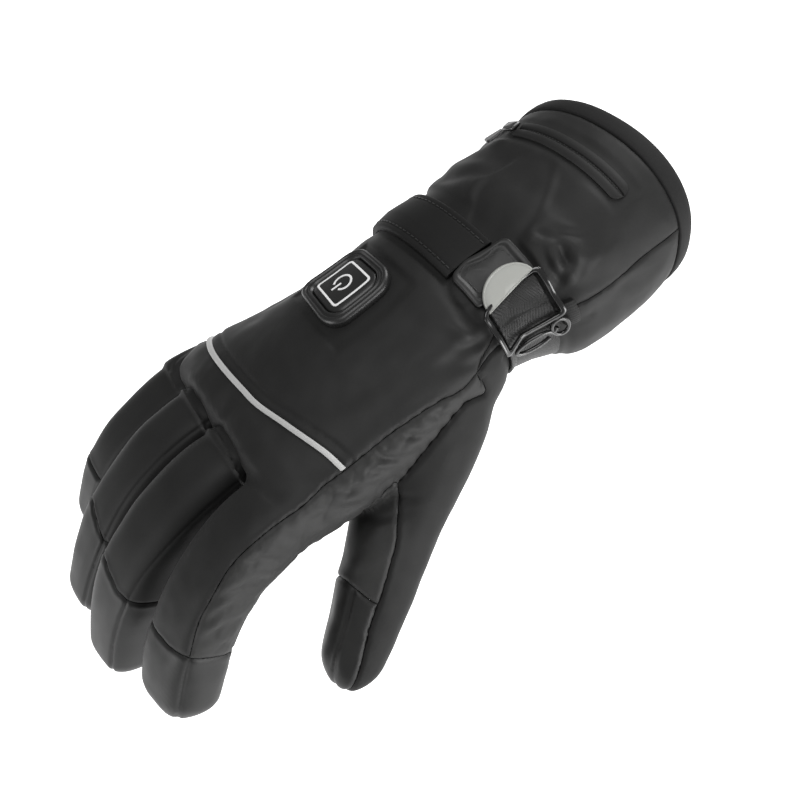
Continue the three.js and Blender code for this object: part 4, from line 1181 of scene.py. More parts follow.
# Small wrinkles of the hand's skin: reach, angle, half length and half width in mm, turn from the reach's
# direction, and height in mm.
WRINKLES = [
    (-24, 42, 9, 1.8, -70, -1.5), (-26, 26, 10, 2.2, -80, -1.7), (-22, 22, 9, 3.0, -80, 0.7),
    (-31, 26, 10, 3.5, -80, 0.9), (-25, 60, 5, 1.2, 60, -0.6), (-29, 56, 5, 1.2, 60, -0.6),
    (-40, 8, 9, 2.5, 30, -0.7), (-36, 36, 14, 3.5, 62, -0.5), (-46, 18, 12, 3.5, 50, -0.5),
    (-60, 42, 10, 3, 70, -0.35), (-32, 78, 14, 5, 75, -0.35), (-43, 58, 16, 5, 40, 0.35),
    (-58, 22, 8, 1.6, 75, -0.6), (-55, 30, 7, 1.6, 60, -0.4), (-35, 100, 14, 5, 80, -0.5),
    (-40, 150, 12, 4, 70, -0.5), (-22, 130, 14, 3, 85, -0.6), (10, 50, 11, 2.5, 88, -0.6),
    (15, 46, 10, 2.6, 80, 0.5), (-20, 38, 10, 1.5, 85, -1.6), (12, 30, 8, 2.2, 35, -0.8),
    (15, 22, 9, 2.2, 30, -0.7), (18, 42, 9, 3.5, 25, 0.4), (9, 60, 6, 2.0, 50, -0.4),
    (60, 95, 16, 6, 20, 0.3), (45, 60, 14, 5, 15, -0.3), (50, 150, 12, 5, -20, -0.3),
    (15, 215, 12, 3, 70, -0.7), (22, 250, 16, 3, 85, -0.9), (40, 280, 18, 4, 60, -0.8),
    (60, 250, 18, 4, 80, -0.8), (-15, 290, 14, 3, 85, -0.7), (-20, 240, 14, 3, 85, -0.7),
]

# Short puckers across the gusset: reach, angle, half length, half width, turn and height.
PUCKERS = [
    (35, 12, 5, 1.3, 70, -0.8), (45, 14, 6, 1.4, 62, -0.9), (56, 12, 8, 1.8, 60, -0.9),
    (62, 10, 6, 1.6, 50, -0.6), (75, 12, 8, 2.0, 55, -0.9), (80, 2, 7, 1.8, 45, -0.7),
    (90, 10, 7, 2.0, 50, -0.8), (98, 0, 7, 2.0, 45, -0.7),
]
INDEX_PUCKERS = [
    (40, 14, 7, 1.8, 50, -0.8), (52, 8, 7, 1.8, 45, -0.8), (62, 14, 7, 1.6, 40, -0.6),
    (70, 6, 6, 1.6, 40, -0.5),
]

THUMB_FOLDS = [
    (41, 224, 10, 8, 90, -3.4), (52, 238, 12, 6, 0, -1.4), (37, 196, 6, 1.4, 80, -0.9),
    (46, 205, 6, 1.4, 70, -0.8), (60, 225, 8, 2.5, 60, -0.4),
]


@dataclass
class Held:
    """A patch of the surface that a fitting lies on, where nothing may stand proud."""

    low_reach: float
    high_reach: float
    low_angle: float
    high_angle: float
    edge: float = 2.5

    def share(self, chart: Chart) -> Array:
        """How firmly the fitting holds the surface down.

        Args:
            chart: where the points lie on the sleeve.

        Returns:
            Shares from 0 to 1.
        """
        turn = (chart.angle - self.low_angle) % 360
        span = (self.high_angle - self.low_angle) % 360
        along = ease(chart.at, self.low_reach - self.edge, self.low_reach)
        along = along * ease(-chart.at, -self.high_reach - self.edge, -self.high_reach)
        inside = np.where(turn <= span, 1.0, 0.0)
        before, after = (ease(-gap * np.radians(chart.radius), -self.edge, 0) * (turn > span)
                         for gap in (360 - turn, turn - span))
        return along * np.maximum(inside, np.maximum(before, after))


HELD = [
    Held(-16.5, 8.5, -76, 200),
    Held(17.0, 47.0, 88, 134),
    Held(-55.0, -46.0, 50, 136),
    Held(-25.0, -17.0, 2, 22),
]


@dataclass
class Survey:
    """What is known of each point of the hand's skin.

    It holds the points, their charts, their distances from the seam lines, how much they belong to the index
    finger, and how far they are from the nearest seam and from the nearest of the other fingers.
    """

    points: Array
    charts: dict[str, Chart]
    lines: dict[str, Array]
    index_share: Array
    seam: Array
    step: Array


@dataclass
class HandSkin:
    """The cuff, the hand, the index finger and the thumb as one skin, divided into its sewn panels."""

    sleeve: Sleeve
    fingers: dict[str, Finger]
    voxel: float = 1.0
    clearance: float = 0.16
    away: float = 20.0
    thumb_free_at: float = 31.9
    inner_from: float = 70.0
    puff: float = 0.4
    puff_width: float = 5.0
    groove: float = 0.7
    groove_width: float = 0.9
    thumb_roll: float = 0.35
    thumb_roll_width: float = 3.0
    wrinkle_gain: float = 2.0
    pucker_gain: float = 1.5
    index_gain: float = 1.3
    gather: float = 0.3
    gather_rate: float = 1.15
    crumple: float = 0.32
    crumple_line: float = 0.13
    corner_width: float = 5.5
    root_ruffle: float = 0.5
    clip_tuck: float = 2.0
    piping_gap: float = 4.6
    piping_tuck: float = 0.55
    strap_bulge: float = 0.55
    strap_squeeze: float = 0.35
    crotch: float = 0.4
    knuckle_drop: float = 2.1

    @property
    def index(self) -> Finger:
        """The index finger."""
        return self.fingers["index"]

    @property
    def thumb(self) -> Finger:
        """The thumb."""
        return self.fingers["thumb"]

    def union(self) -> Skin:
        """Joins the limbs into one even skin.

        Returns:
            The skin, in millimetres.
        """
        parts = [
            self.sleeve.loft(-CUFF.length + 3.5, 1.0, 260),
            self.index.loft(2.0, 1.0, 96),
            self.thumb.loft(-28.0, 1.2, 110),
        ]
        points = np.concatenate([p for p, _ in parts])
        offsets = np.cumsum([0] + [len(p) for p, _ in parts[:-1]])
        faces = np.concatenate([f + offset for (_, f), offset in zip(parts, offsets)])
        mesh = bpy.data.meshes.new("union")
        mesh.from_pydata(points * METRES, [], faces.tolist())
        blank = bpy.data.objects.new("union", mesh)
        bpy.context.scene.collection.objects.link(blank)
        remesh = blank.modifiers.new("even", "REMESH")
        remesh.mode = "VOXEL"
        remesh.voxel_size = self.voxel * METRES
        graph = bpy.context.evaluated_depsgraph_get()
        made = blank.evaluated_get(graph).to_mesh()
        made.calc_loop_triangles()
        even = np.empty(len(made.vertices) * 3, np.float32)
        made.vertices.foreach_get("co", even)
        triangles = np.empty(len(made.loop_triangles) * 3, np.int32)
        made.loop_triangles.foreach_get("vertices", triangles)
        skin = Skin(even.reshape(-1, 3).astype(float) / METRES, triangles.reshape(-1, 3).astype(int))
        bpy.data.objects.remove(blank, do_unlink=True)
        bpy.data.meshes.remove(mesh)
        log.info("union: %d points", len(skin.points))
        return skin

    def charts(self, points: Array) -> dict[str, Chart]:
        """Where points lie on each limb."""
        return {"sleeve": self.sleeve.locate(points), "index": self.index.locate(points),
                "thumb": self.thumb.locate(points)}

    @staticmethod
    def index_share(charts: dict[str, Chart]) -> Array:
        """How much a point belongs to the index finger rather than the hand."""
        return np.clip(0.5 + (charts["sleeve"].outside - charts["index"].outside) / 8, 0, 1)

    def fields(self, charts: dict[str, Chart]) -> dict[str, Array]:
        """How far points are from each seam line.

        Args:
            charts: the points' charts.

        Returns:
            Signed distances in millimetres, by the seam's name.
        """
        s, i, t = charts["sleeve"], charts["index"], charts["thumb"]
        w = self.index_share(charts)
        seams = INDEX_SEAMS.read(i.at)
        thumb = THUMB_SEAMS.read(t.at)
        back_turn, palm_turn = BACK_SEAM.column("angle", s.at), PALM_SEAM.column("angle", s.at)
        back = (1 - w) * s.across(s.angle - back_turn) + w * i.across(i.angle - seams["back"])
        palm = (1 - w) * s.across(s.angle - palm_turn) + w * i.across(i.angle - seams["palm"])
        far = (1 - w) * s.across(HAND.far_seam - s.angle) + w * i.across(seams["far"] - i.angle)
        on_index = s.outside - i.outside
        on_thumb = np.minimum(s.outside, i.outside) - t.outside
        free = np.minimum(t.at - self.thumb_free_at, on_thumb + 2)
        on_back, by_thumb = s.at >= -3, free > -3
        return {
            "rim": s.at + CUFF.length - CUFF.binding,
            "wrist": s.at,
            "cuff_near": s.across(s.angle - CUFF.side_seam),
            "cuff_far": s.across(CUFF.side_seam + 180 - s.angle),
            "back": np.where(on_back, back, self.away),
            "far": np.where(on_back, far, self.away),
            "palm": np.where(s.at < 18, -self.away, palm),
            "piping": np.where(w > 0.8, self.away, s.at - PIPING_LINE.column("reach", s.angle)),
            "index_cap": np.minimum(i.at - self.index.cap_at(i.angle), on_index),
            "index_root": np.minimum(i.at - INDEX.inset, on_index + 1),
            "on_thumb": on_thumb,
            "thumb_free": free,
            "thumb_far": np.where(by_thumb, t.across(t.angle - thumb["far"]), self.away),
            "thumb_near": np.where(by_thumb, t.across(thumb["near"] - t.angle), self.away),
            "thumb_cap": np.where(by_thumb, t.at - self.thumb.cap_at(t.angle), -self.away),
            "thumb_inner": np.where(t.at > self.inner_from, t.across(t.angle - thumb["inner"]), self.away),
        }

    def regions(self, charts: dict[str, Chart]) -> Array:
        """Which panel points belong to.

        Args:
            charts: the points' charts.

        Returns:
            Numbers that index the panels.
        """
        f = self.fields(charts)
        w = self.index_share(charts)
        number = {panel: k for k, panel in enumerate(Panel)}
        over_back = (f["back"] > 0) & (f["far"] > 0) & (f["on_thumb"] < 0)
        gusset = (f["back"] < 0) & (f["palm"] > 0) & (f["on_thumb"] < 0)
        gusset &= (charts["sleeve"].at > HAND.gusset_start) | (w > 0.5)
        seams = THUMB_SEAMS.read(charts["thumb"].at)
        past_far = (charts["thumb"].angle - seams["far"]) % 360
        thumb_side = (f["thumb_free"] > 0) & (past_far < (seams["near"] - seams["far"]) % 360)
        cuff_back = (f["cuff_near"] > 0) & (f["cuff_far"] > 0)
        choices = [
            (f["rim"] < 0, Panel.NONE),
            ((f["wrist"] < 0) & cuff_back, Panel.CUFF_BACK),
            (f["wrist"] < 0, Panel.CUFF_PALM),
            (thumb_side & (f["thumb_cap"] > 0), Panel.THUMB_CAP),
            (thumb_side, Panel.THUMB_STALL),
            ((f["index_cap"] > 0) & (f["on_thumb"] < 0), Panel.INDEX_CAP),
            (gusset, Panel.GUSSET),
            (over_back & (f["piping"] > 0), Panel.KNUCKLE),
            (over_back, Panel.BACK),
            ((f["index_root"] > 0) & (f["on_thumb"] < 0), Panel.INDEX_STALL),
        ]
        return np.select([c for c, _ in choices], [number[p] for _, p in choices], number[Panel.PALM])

    @staticmethod
    def strokes(chart: Chart, rows: Sequence[Sequence[float]], weight: Array) -> Array:
        """The height of short wrinkles.

        Args:
            chart: where the points lie.
            rows: the wrinkles: place, angle, half length, half width, turn and height.
            weight: how much of them each point takes.

        Returns:
            Heights in millimetres.
        """
        total = np.zeros(len(chart.at))
        for place, angle, length, width, turn, height in rows:
            u, v = chart.at - place, chart.across(chart.angle - angle)
            c, s = math.cos(math.radians(turn)), math.sin(math.radians(turn))
            along, across = u * c + v * s, v * c - u * s
            bent = across + 0.02 * along**2 * np.sign(height)
            total += height * bell(along, length) * bell(bent, width)
            total -= 0.35 * height * bell(along, length) * bell(np.abs(bent) - 2.2 * width, width)
        return total * weight

    def stitched(self, skin: Skin, charts: dict[str, Chart], regions: Array) -> Array:
        """Points on a seam, also where it runs within one panel.

        Args:
            skin: the divided skin.
            charts: its points' charts.
            regions: each triangle's panel number.

        Returns:
            Point numbers.
        """
        lines, index, thumb = self.fields(charts), charts["index"].at, charts["thumb"].at
        free = lines["thumb_free"] > 0
        within = (np.abs(lines["back"]) < ON_LINE) & (index > 78) & (self.index_share(charts) > 0.9)
        within |= (np.abs(lines["thumb_inner"]) < ON_LINE) & (thumb > 72) & free
        within |= (np.abs(lines["thumb_far"]) < ON_LINE) & (thumb > 28) & free
        return np.unique(np.concatenate([skin.seam_points(regions), np.flatnonzero(within)]))

    def padding(self, at: Survey) -> Array:
        """How far the padding stands out between the sunken seams.

        Args:
            at: the points.

        Returns:
            Heights in millimetres.
        """
        on_thumb = ease(at.lines["on_thumb"], 0.0, 3.0)
        height = self.puff * (1 - bell(at.seam, self.puff_width)) * (1 - on_thumb)
        height -= self.groove * bell(at.seam, self.groove_width)
        height += self.thumb_roll * bell(at.seam, self.thumb_roll_width) * on_thumb
        for lift, scale, seed, flat in ((0.5, 17.0, 0.0, 3.0), (0.2, 6.5, 7.0, 2.0)):
            height += lift * rough(at.points, scale, seed) * (1 - bell(at.seam, flat))
        return height

    def wrinkles(self, at: Survey) -> Array:
        """The height of the wrinkles, the gathers along seams and the gusset's crumples.

        Args:
            at: the points.

        Returns:
            Heights in millimetres.
        """
        s, f = at.charts["sleeve"], at.lines
        on_hand = (1 - at.index_share) * ease(-f["on_thumb"], -2.0, 2.0)
        fade = 0.35 + 0.65 * (1 - bell(at.seam, 2.0))
        height = self.wrinkle_gain * self.strokes(s, WRINKLES, on_hand)
        height += self.pucker_gain * self.strokes(s, PUCKERS, on_hand * fade)
        height += self.index_gain * self.strokes(at.charts["index"], INDEX_PUCKERS, at.index_share * fade)
        height += self.strokes(at.charts["thumb"], THUMB_FOLDS, ease(f["on_thumb"], -1.0, 2.0))
        off_thumb = f["on_thumb"] < 0
        ripple = np.sin(self.gather_rate * s.at + 2 * rough(at.points, 9.0, 3.0))
        beside = (f["back"] < 1) & (f["palm"] > -1) & (s.at > 25) & off_thumb
        height += self.gather * bell(at.seam, 4.0) * ripple * beside
        gusset = (f["back"] < 0) & (f["palm"] > 0) & (s.at > 24) & (f["index_cap"] < 0) & off_thumb
        valleys = bell(rough(at.points, 13.0, 11.0), self.crumple_line)
        valleys += 0.5 * bell(rough(at.points, 8.0, 19.0), self.crumple_line)
        return height - self.crumple * valleys * gusset * (1 - bell(at.seam, 1.5))

    def shaping(self, at: Survey) -> Array:
        """The tips' corners, and what the strap, clip, piping and finger roots press in or out.

        Args:
            at: the points.

        Returns:
            Heights in millimetres.
        """
        s, f, on_sleeve = at.charts["sleeve"], at.lines, 1 - at.index_share
        height = self.root_ruffle * rough(at.points, 4.5, 23.0) * bell(at.step - 2.0, 4.0)
        height *= ease(s.at, 80, 88)
        for limb, along, angle, lift in ((self.thumb, 106, 173, 2.6), (self.index, 112, 30, 1.0)):
            gap = np.linalg.norm(at.points - limb.point(along, angle), axis=1)
            height += lift * bell(gap, self.corner_width)
        under_clip = (s.angle > 285) | (s.angle < 6)
        height -= self.clip_tuck * under_clip * ease(s.at, -17, -11) * ease(-s.at, -10, -4)
        over_back = (f["back"] > 0.5) & (f["far"] > 0.5) & (at.index_share < 0.5)
        height -= self.piping_tuck * bell(np.abs(f["piping"] + self.piping_gap), 0.9) * over_back
        bulge = (bell(s.at - 16, 6.0) + bell(s.at + 22, 6.0)) * on_sleeve * ease(-f["on_thumb"], -2.0, 2.0)
        height += self.strap_bulge * bulge
        height -= self.strap_squeeze * ease(s.at, -20, -12) * ease(-s.at, -14, -7)
        height -= self.crotch * bell(at.step, 2.4) * ease(s.at, 85, 92)
        over_roots = (s.angle > 25) & (s.angle < 200)
        return height - self.knuckle_drop * ease(s.at, 86, 99) * over_roots * on_sleeve

    def relief(self, at: Survey) -> Array:
        """How far each point moves out along its normal, held down where a fitting lies.

        Args:
            at: the points.

        Returns:
            Heights in millimetres.
        """
        height = self.padding(at) + self.wrinkles(at) + self.shaping(at)
        held = np.max([patch.share(at.charts["sleeve"]) for patch in HELD], axis=0) * (1 - at.index_share)
        return height * (1 - held) + np.minimum(height, -0.05) * held

    def soften(self, skin: Skin) -> None:
        """Evens the union out, most of all in the creases where the limbs meet.

        Args:
            skin: the union.
        """
        skin.smooth(3)
        charts = self.charts(skin.points)
        sleeve, index, thumb = (charts[name].outside for name in ("sleeve", "index", "thumb"))
        crease = np.abs(np.minimum(sleeve, index) - thumb)
        ridge = np.abs(sleeve - index)
        near = np.maximum(bell(crease, 4.0), 0.8 * bell(ridge, 5.0) * (charts["index"].at > 12))
        skin.smooth(14, 0.5 * near)

    def build(self) -> None:
        """Makes all the panels."""
        skin = self.union()
        self.soften(skin)
        skin.cut_all(self.fields(self.charts(skin.points)))
        middles = skin.points[skin.faces].mean(1)
        regions = skin.tidy_regions(self.regions(self.charts(middles)))
        charts = self.charts(skin.points)
        seam = distance_to(skin.points, skin.points[self.stitched(skin, charts, regions)])
        others = [self.fingers[name].locate(skin.points).outside for name in ("middle", "ring", "little")]
        step = np.abs(np.min(others, axis=0))
        at = Survey(skin.points, charts, self.fields(charts), self.index_share(charts), seam, step)
        skin.points = skin.points + self.relief(at)[:, None] * skin.normals()
        normals = skin.normals()
        for number, panel in enumerate(Panel):
            if panel is Panel.NONE:
                continue
            wall = CUFF.wall if panel in (Panel.CUFF_BACK, Panel.CUFF_PALM) else HAND.wall
            points, faces = close_panel(skin.points, skin.faces[regions == number], normals, wall,
                                        self.clearance)
            make_piece(f"{panel.value}_sewn", points, faces, PANEL_FINISH[panel], [panel.value], fill=0.5)


@dataclass
class FingerSkin:
    """A finger that is its own piece: its cloth stall and its leather tip cap."""

    sleeve: Sleeve
    finger: Finger
    clearance: float = 0.16
    first_ring: float = 11.0
    ring_spacing: float = 0.9
    ring_points: int = 112
    cap_groove: float = 0.7
    stall_groove: float = 0.35
    groove_width: float = 0.65
    cap_ridge: float = 0.3
    stall_ridge: float = 0.05
    ridge_width: float = 2.6
    cap_lip: float = 0.2
    uneven: float = 0.3
    fold_pitch: float = 9.0
    fold_height: float = 0.45
    root_puff: float = 1.4
    root_groove: float = 0.6

    def lines(self, chart: Chart) -> dict[str, Array]:
        """How far points are from the cap's seam and from the seams along the finger.

        Args:
            chart: where the points lie.

        Returns:
            Signed distances in millimetres, by the seam's name.
        """
        lines = {"cap": chart.at - self.finger.cap_at(chart.angle)}
        for k, rows in enumerate(self.finger.digit.seam_lines):
            lines[f"line{k}"] = chart.across(chart.angle - Table("at angle", rows).column("angle", chart.at))
        return lines

    def relief(self, points: Array) -> Array:
        """How far each point moves out along its normal.

        Args:
            points: the skin's points.

        Returns:
            Heights in millimetres.
        """
        chart = self.finger.locate(points)
        lines = self.lines(chart)
        on_line = np.any([np.abs(line) < ON_LINE for line in lines.values()], axis=0)
        seam, cap = distance_to(points, points[on_line]), lines["cap"]
        groove = np.where(cap > -1.5, self.cap_groove, self.stall_groove)
        ridge = np.where(cap > -1.5, self.cap_ridge, self.stall_ridge)
        height = ridge * bell(seam, self.ridge_width) - groove * bell(seam, self.groove_width)
        height += self.cap_lip * ease(cap, 0.2, 1.4) * (1 - ease(cap, 5, 14))
        height += self.uneven * rough(points, 13.0, 5.0) * (1 - bell(seam, 3.0))
        folds = np.sin(2 * math.pi * (chart.at - 40) / self.fold_pitch)
        folds *= ease(chart.at, 30, 40) * ease(-chart.at, -74, -66)
        height += self.fold_height * folds * ease(-np.sin(np.radians(chart.angle)), 0.3, 0.8)
        inside = self.sleeve.locate(points).outside
        return height + self.root_puff * bell(inside - 3.0, 6.0) - self.root_groove * bell(inside - 0.2, 0.9)

    def build(self) -> None:
        """Makes the stall and the cap."""
        digit = self.finger.digit
        skin = Skin(*self.finger.loft(self.first_ring, self.ring_spacing, self.ring_points))
        open_end = len(skin.points) - 2
        skin.faces = skin.faces[(skin.faces != open_end).all(1)]
        skin.cut_all(self.lines(self.finger.locate(skin.points)))
        middle = self.finger.locate(skin.points[skin.faces].mean(1))
        on_cap = middle.at > self.finger.cap_at(middle.angle)
        skin.points = skin.points + self.relief(skin.points)[:, None] * skin.normals()
        normals = skin.normals()
        for part, chosen, finish in (("stall", ~on_cap, SHELL), ("cap", on_cap, CAP)):
            node = f"{digit.name}_{part}"
            points, faces = close_panel(skin.points, skin.faces[chosen], normals, digit.wall, self.clearance)
            make_piece(f"{node}_sewn", points, faces, finish, [node], fill=0.5)


# Fittings


@dataclass
class Wrapped:
    """Ways to lay strips, plates and tubes on the sleeve."""

    sleeve: Sleeve

    def strip(self, angles: Array, reach: Array | float, profile: Sequence[tuple[float, float]],
              sink: Array | float = 0.0, narrow: Array | float = 1.0) -> tuple[Array, Array, Array]:
        """A strip round the sleeve with one profile.

        Args:
            angles: the angles along it.
            reach: the reach of its middle, at each angle or at all.
            profile: pairs of across and lift round the profile, from low across along the underside first.
            sink: how far the strip is pulled in at each angle.
            narrow: the share of its width that it has at each angle.

        Returns:
            Points, triangles and cloth coordinates.
        """
        reach, sink, narrow = (np.broadcast_to(x, angles.shape)[:, None] for x in (reach, sink, narrow))
        across, lift = np.array(profile, float).T
        points = self.sleeve.point(reach + across * narrow, angles[:, None], lift - sink)
        rings = points.reshape(len(angles), len(across), 3)
        middle = rings.mean(1)
        run = np.concatenate([[0], np.cumsum(np.linalg.norm(np.diff(middle, axis=0), axis=1))])
        uv = np.stack(np.broadcast_arrays(run[:, None], across[None, :]), -1).reshape(-1, 2)
        uv = np.concatenate([uv, [[run[0], 0], [run[-1], 0]]])
        return *solid(rings), uv

    def plate(self, outline: Array, layers: Sequence[tuple[float, float]]) -> tuple[Array, Array, Array]:
        """A plate on the sleeve.

        Args:
            outline: rows of reach and angle.
            layers: pairs of inset towards the middle in millimetres and lift, from the underside up.

        Returns:
            Points, triangles and cloth coordinates.
        """
        middle = outline.mean(0)
        arm = outline - middle
        per_degree = math.radians(1) * 34
        length = np.hypot(arm[:, 0], arm[:, 1] * per_degree)
        rings, flat = [], []
        for inset, lift in layers:
            share = np.clip(1 - inset / length, 0.04, 2)[:, None]
            place = middle + arm * share
            rings.append(self.sleeve.point(place[:, 0], place[:, 1], lift))
            flat.append(np.stack([place[:, 1] * per_degree, place[:, 0]], 1))
        uv = np.concatenate([*flat, flat[0].mean(0)[None], flat[-1].mean(0)[None]])
        return *solid(rings), uv

    def ring(self, outer: Array, inner: Array, profile: Sequence[tuple[float, float]]) -> tuple[Array, Array]:
        """A frame between two outlines.

        Args:
            outer: rows of reach and angle.
            inner: the same number of rows.
            profile: pairs of the share from outer to inner and the lift, round the frame's section.

        Returns:
            Points and triangles.
        """
        share, lift = np.array(profile, float).T
        rings = []
        for a, b in zip(outer, inner):
            place = a + (b - a) * share[:, None]
            rings.append(self.sleeve.point(place[:, 0], place[:, 1], lift))
        return solid(rings, looped=True)

    def tube(self, path: Array, radius: float, sides: int = 10, closed: bool = False) -> tuple[Array, Array]:
        """A rod along a path of points.

        Args:
            path: rows of x, y and z.
            radius: the rod's radius.
            sides: how many sides it has.
            closed: whether its ends join.

        Returns:
            Points and triangles.
        """
        if closed:
            along = unit(np.roll(path, -1, 0) - np.roll(path, 1, 0))
        else:
            along = unit(np.gradient(path, axis=0))
        side = unit(np.cross(along[0], [0.3, 0.5, 0.81]))
        rings = []
        turns = np.linspace(0, 2 * math.pi, sides, endpoint=False)
        for point, way in zip(path, along):
            side = unit(side - way * np.dot(side, way))
            other = np.cross(way, side)
            rings.append(point + radius * (np.outer(np.cos(turns), side) + np.outer(np.sin(turns), other)))
        return solid(rings, looped=closed)

    def frame(self, reach: float, angle: float, lift: float) -> tuple[Array, Array]:
        """A frame lying on the sleeve.

        Args:
            reach: its reach.
            angle: its angle.
            lift: how far off the surface it is.

        Returns:
            Its origin, and its axes in rows: along the reach, down the angle, and out.
        """
        middle, ahead, down = (self.sleeve.point(r, a, lift)[0] for r, a in
                               ((reach, angle), (reach + 2, angle), (reach, angle - 2)))
        down = unit(down - middle)
        out = unit(np.cross(ahead - middle, down))
        return middle, np.stack([np.cross(down, out), down, out])


def spun(axes: Array, degrees: float) -> Array:
    """Turns axes about the last of them."""
    cosine, sine = math.cos(math.radians(degrees)), math.sin(math.radians(degrees))
    return np.stack([axes[0] * cosine + axes[1] * sine, axes[1] * cosine - axes[0] * sine, axes[2]])


def joined(parts: Sequence[tuple[Array, Array]]) -> tuple[Array, Array]:
    """Puts several meshes into one.

    Args:
        parts: pairs of points and triangles.

    Returns:
        The points and triangles of all.
    """
    points, faces, count = [], [], 0
    for p, f in parts:
        points.append(p)
        faces.append(f + count)
        count += len(p)
    return np.concatenate(points), np.concatenate(faces)


def strap_profile(width: float, low: float, high: float, edge: float, crown: float = 0.0,
                  groove: float = 0.0) -> list[tuple[float, float]]:
    """A strap's rounded profile.

    Args:
        width: its width.
        low: the lift of its underside.
        high: the lift of its top.
        edge: the radius of its edges.
        crown: how far its middle stands above its edges.
        groove: how deep its lines of stitching lie.

    Returns:
        Pairs of across and lift.
    """
    half = width / 2
    profile = [(-half + edge * 0.3, low), (half - edge * 0.3, low), (half, low + 0.25 * edge)]
    turns = np.radians(np.linspace(0, 90, 6))
    profile += [(half - edge + edge * math.cos(t), high - edge + edge * math.sin(t)) for t in turns]
    for share in np.linspace(1, -1, 41)[1:-1]:
        x = share * (half - edge)
        dip = groove * math.exp(-(((abs(x) - (half - 2.4)) / 0.5) ** 2))
        profile.append((x, high + crown * (1 - share**2) - dip))
    profile += [(-half + edge - edge * math.cos(t), high - edge + edge * math.sin(t)) for t in turns[::-1]]
    profile.append((-half, low + 0.25 * edge))
    return profile


def rounded_outline(reach: float, angle: float, width: float, turn: float, corner: float, corner_turn: float,
                    per_side: int = 12, per_corner: int = 8) -> Array:
    """A rounded rectangle on the sleeve.

    Args:
        reach: its middle's reach.
        angle: its middle's angle.
        width: its size along the reach.
        turn: its size round the sleeve, in degrees.
        corner: its corners' radius along the reach.
        corner_turn: the same round the sleeve.
        per_side: points in a side.
        per_corner: points in a corner.

    Returns:
        Rows of reach and angle.
    """
    rows = []
    for u, v, start in ((1, 1, 0), (-1, 1, 90), (-1, -1, 180), (1, -1, 270)):
        turns = np.radians(np.linspace(start, start + 90, per_corner))
        rows.append(np.stack([reach + u * (width / 2 - corner) + corner * np.cos(turns),
                              angle + v * (turn / 2 - corner_turn) + corner_turn * np.sin(turns)], 1))
    outline = []
    for k in range(4):
        outline.append(rows[k])
        start, stop = rows[k][-1], rows[(k + 1) % 4][0]
        outline.append(start + (stop - start) * np.linspace(0, 1, per_side + 2)[1:-1, None])
    return np.concatenate(outline)


@dataclass
class Stitching:
    """A line of stitches on the sleeve."""

    path: Array
    pitch: float = 2.6
    length: float = 1.8
    radius: float = 0.24

    def build(self, kit: Wrapped) -> tuple[Array, Array]:
        """Makes the stitches.

        Args:
            kit: the ways to lay things on the sleeve.

        Returns:
            Points and triangles of them all.
        """
        steps = np.concatenate([[0], np.cumsum(np.linalg.norm(np.diff(self.path, axis=0), axis=1))])
        parts = []
        for start in np.arange(self.pitch / 2, steps[-1] - self.length, self.pitch):
            at = start + self.length * np.linspace(0, 1, 5)
            points = np.stack([np.interp(at, steps, self.path[:, k]) for k in range(3)], 1)
            parts.append(kit.tube(points, self.radius, 6))
        return joined(parts)


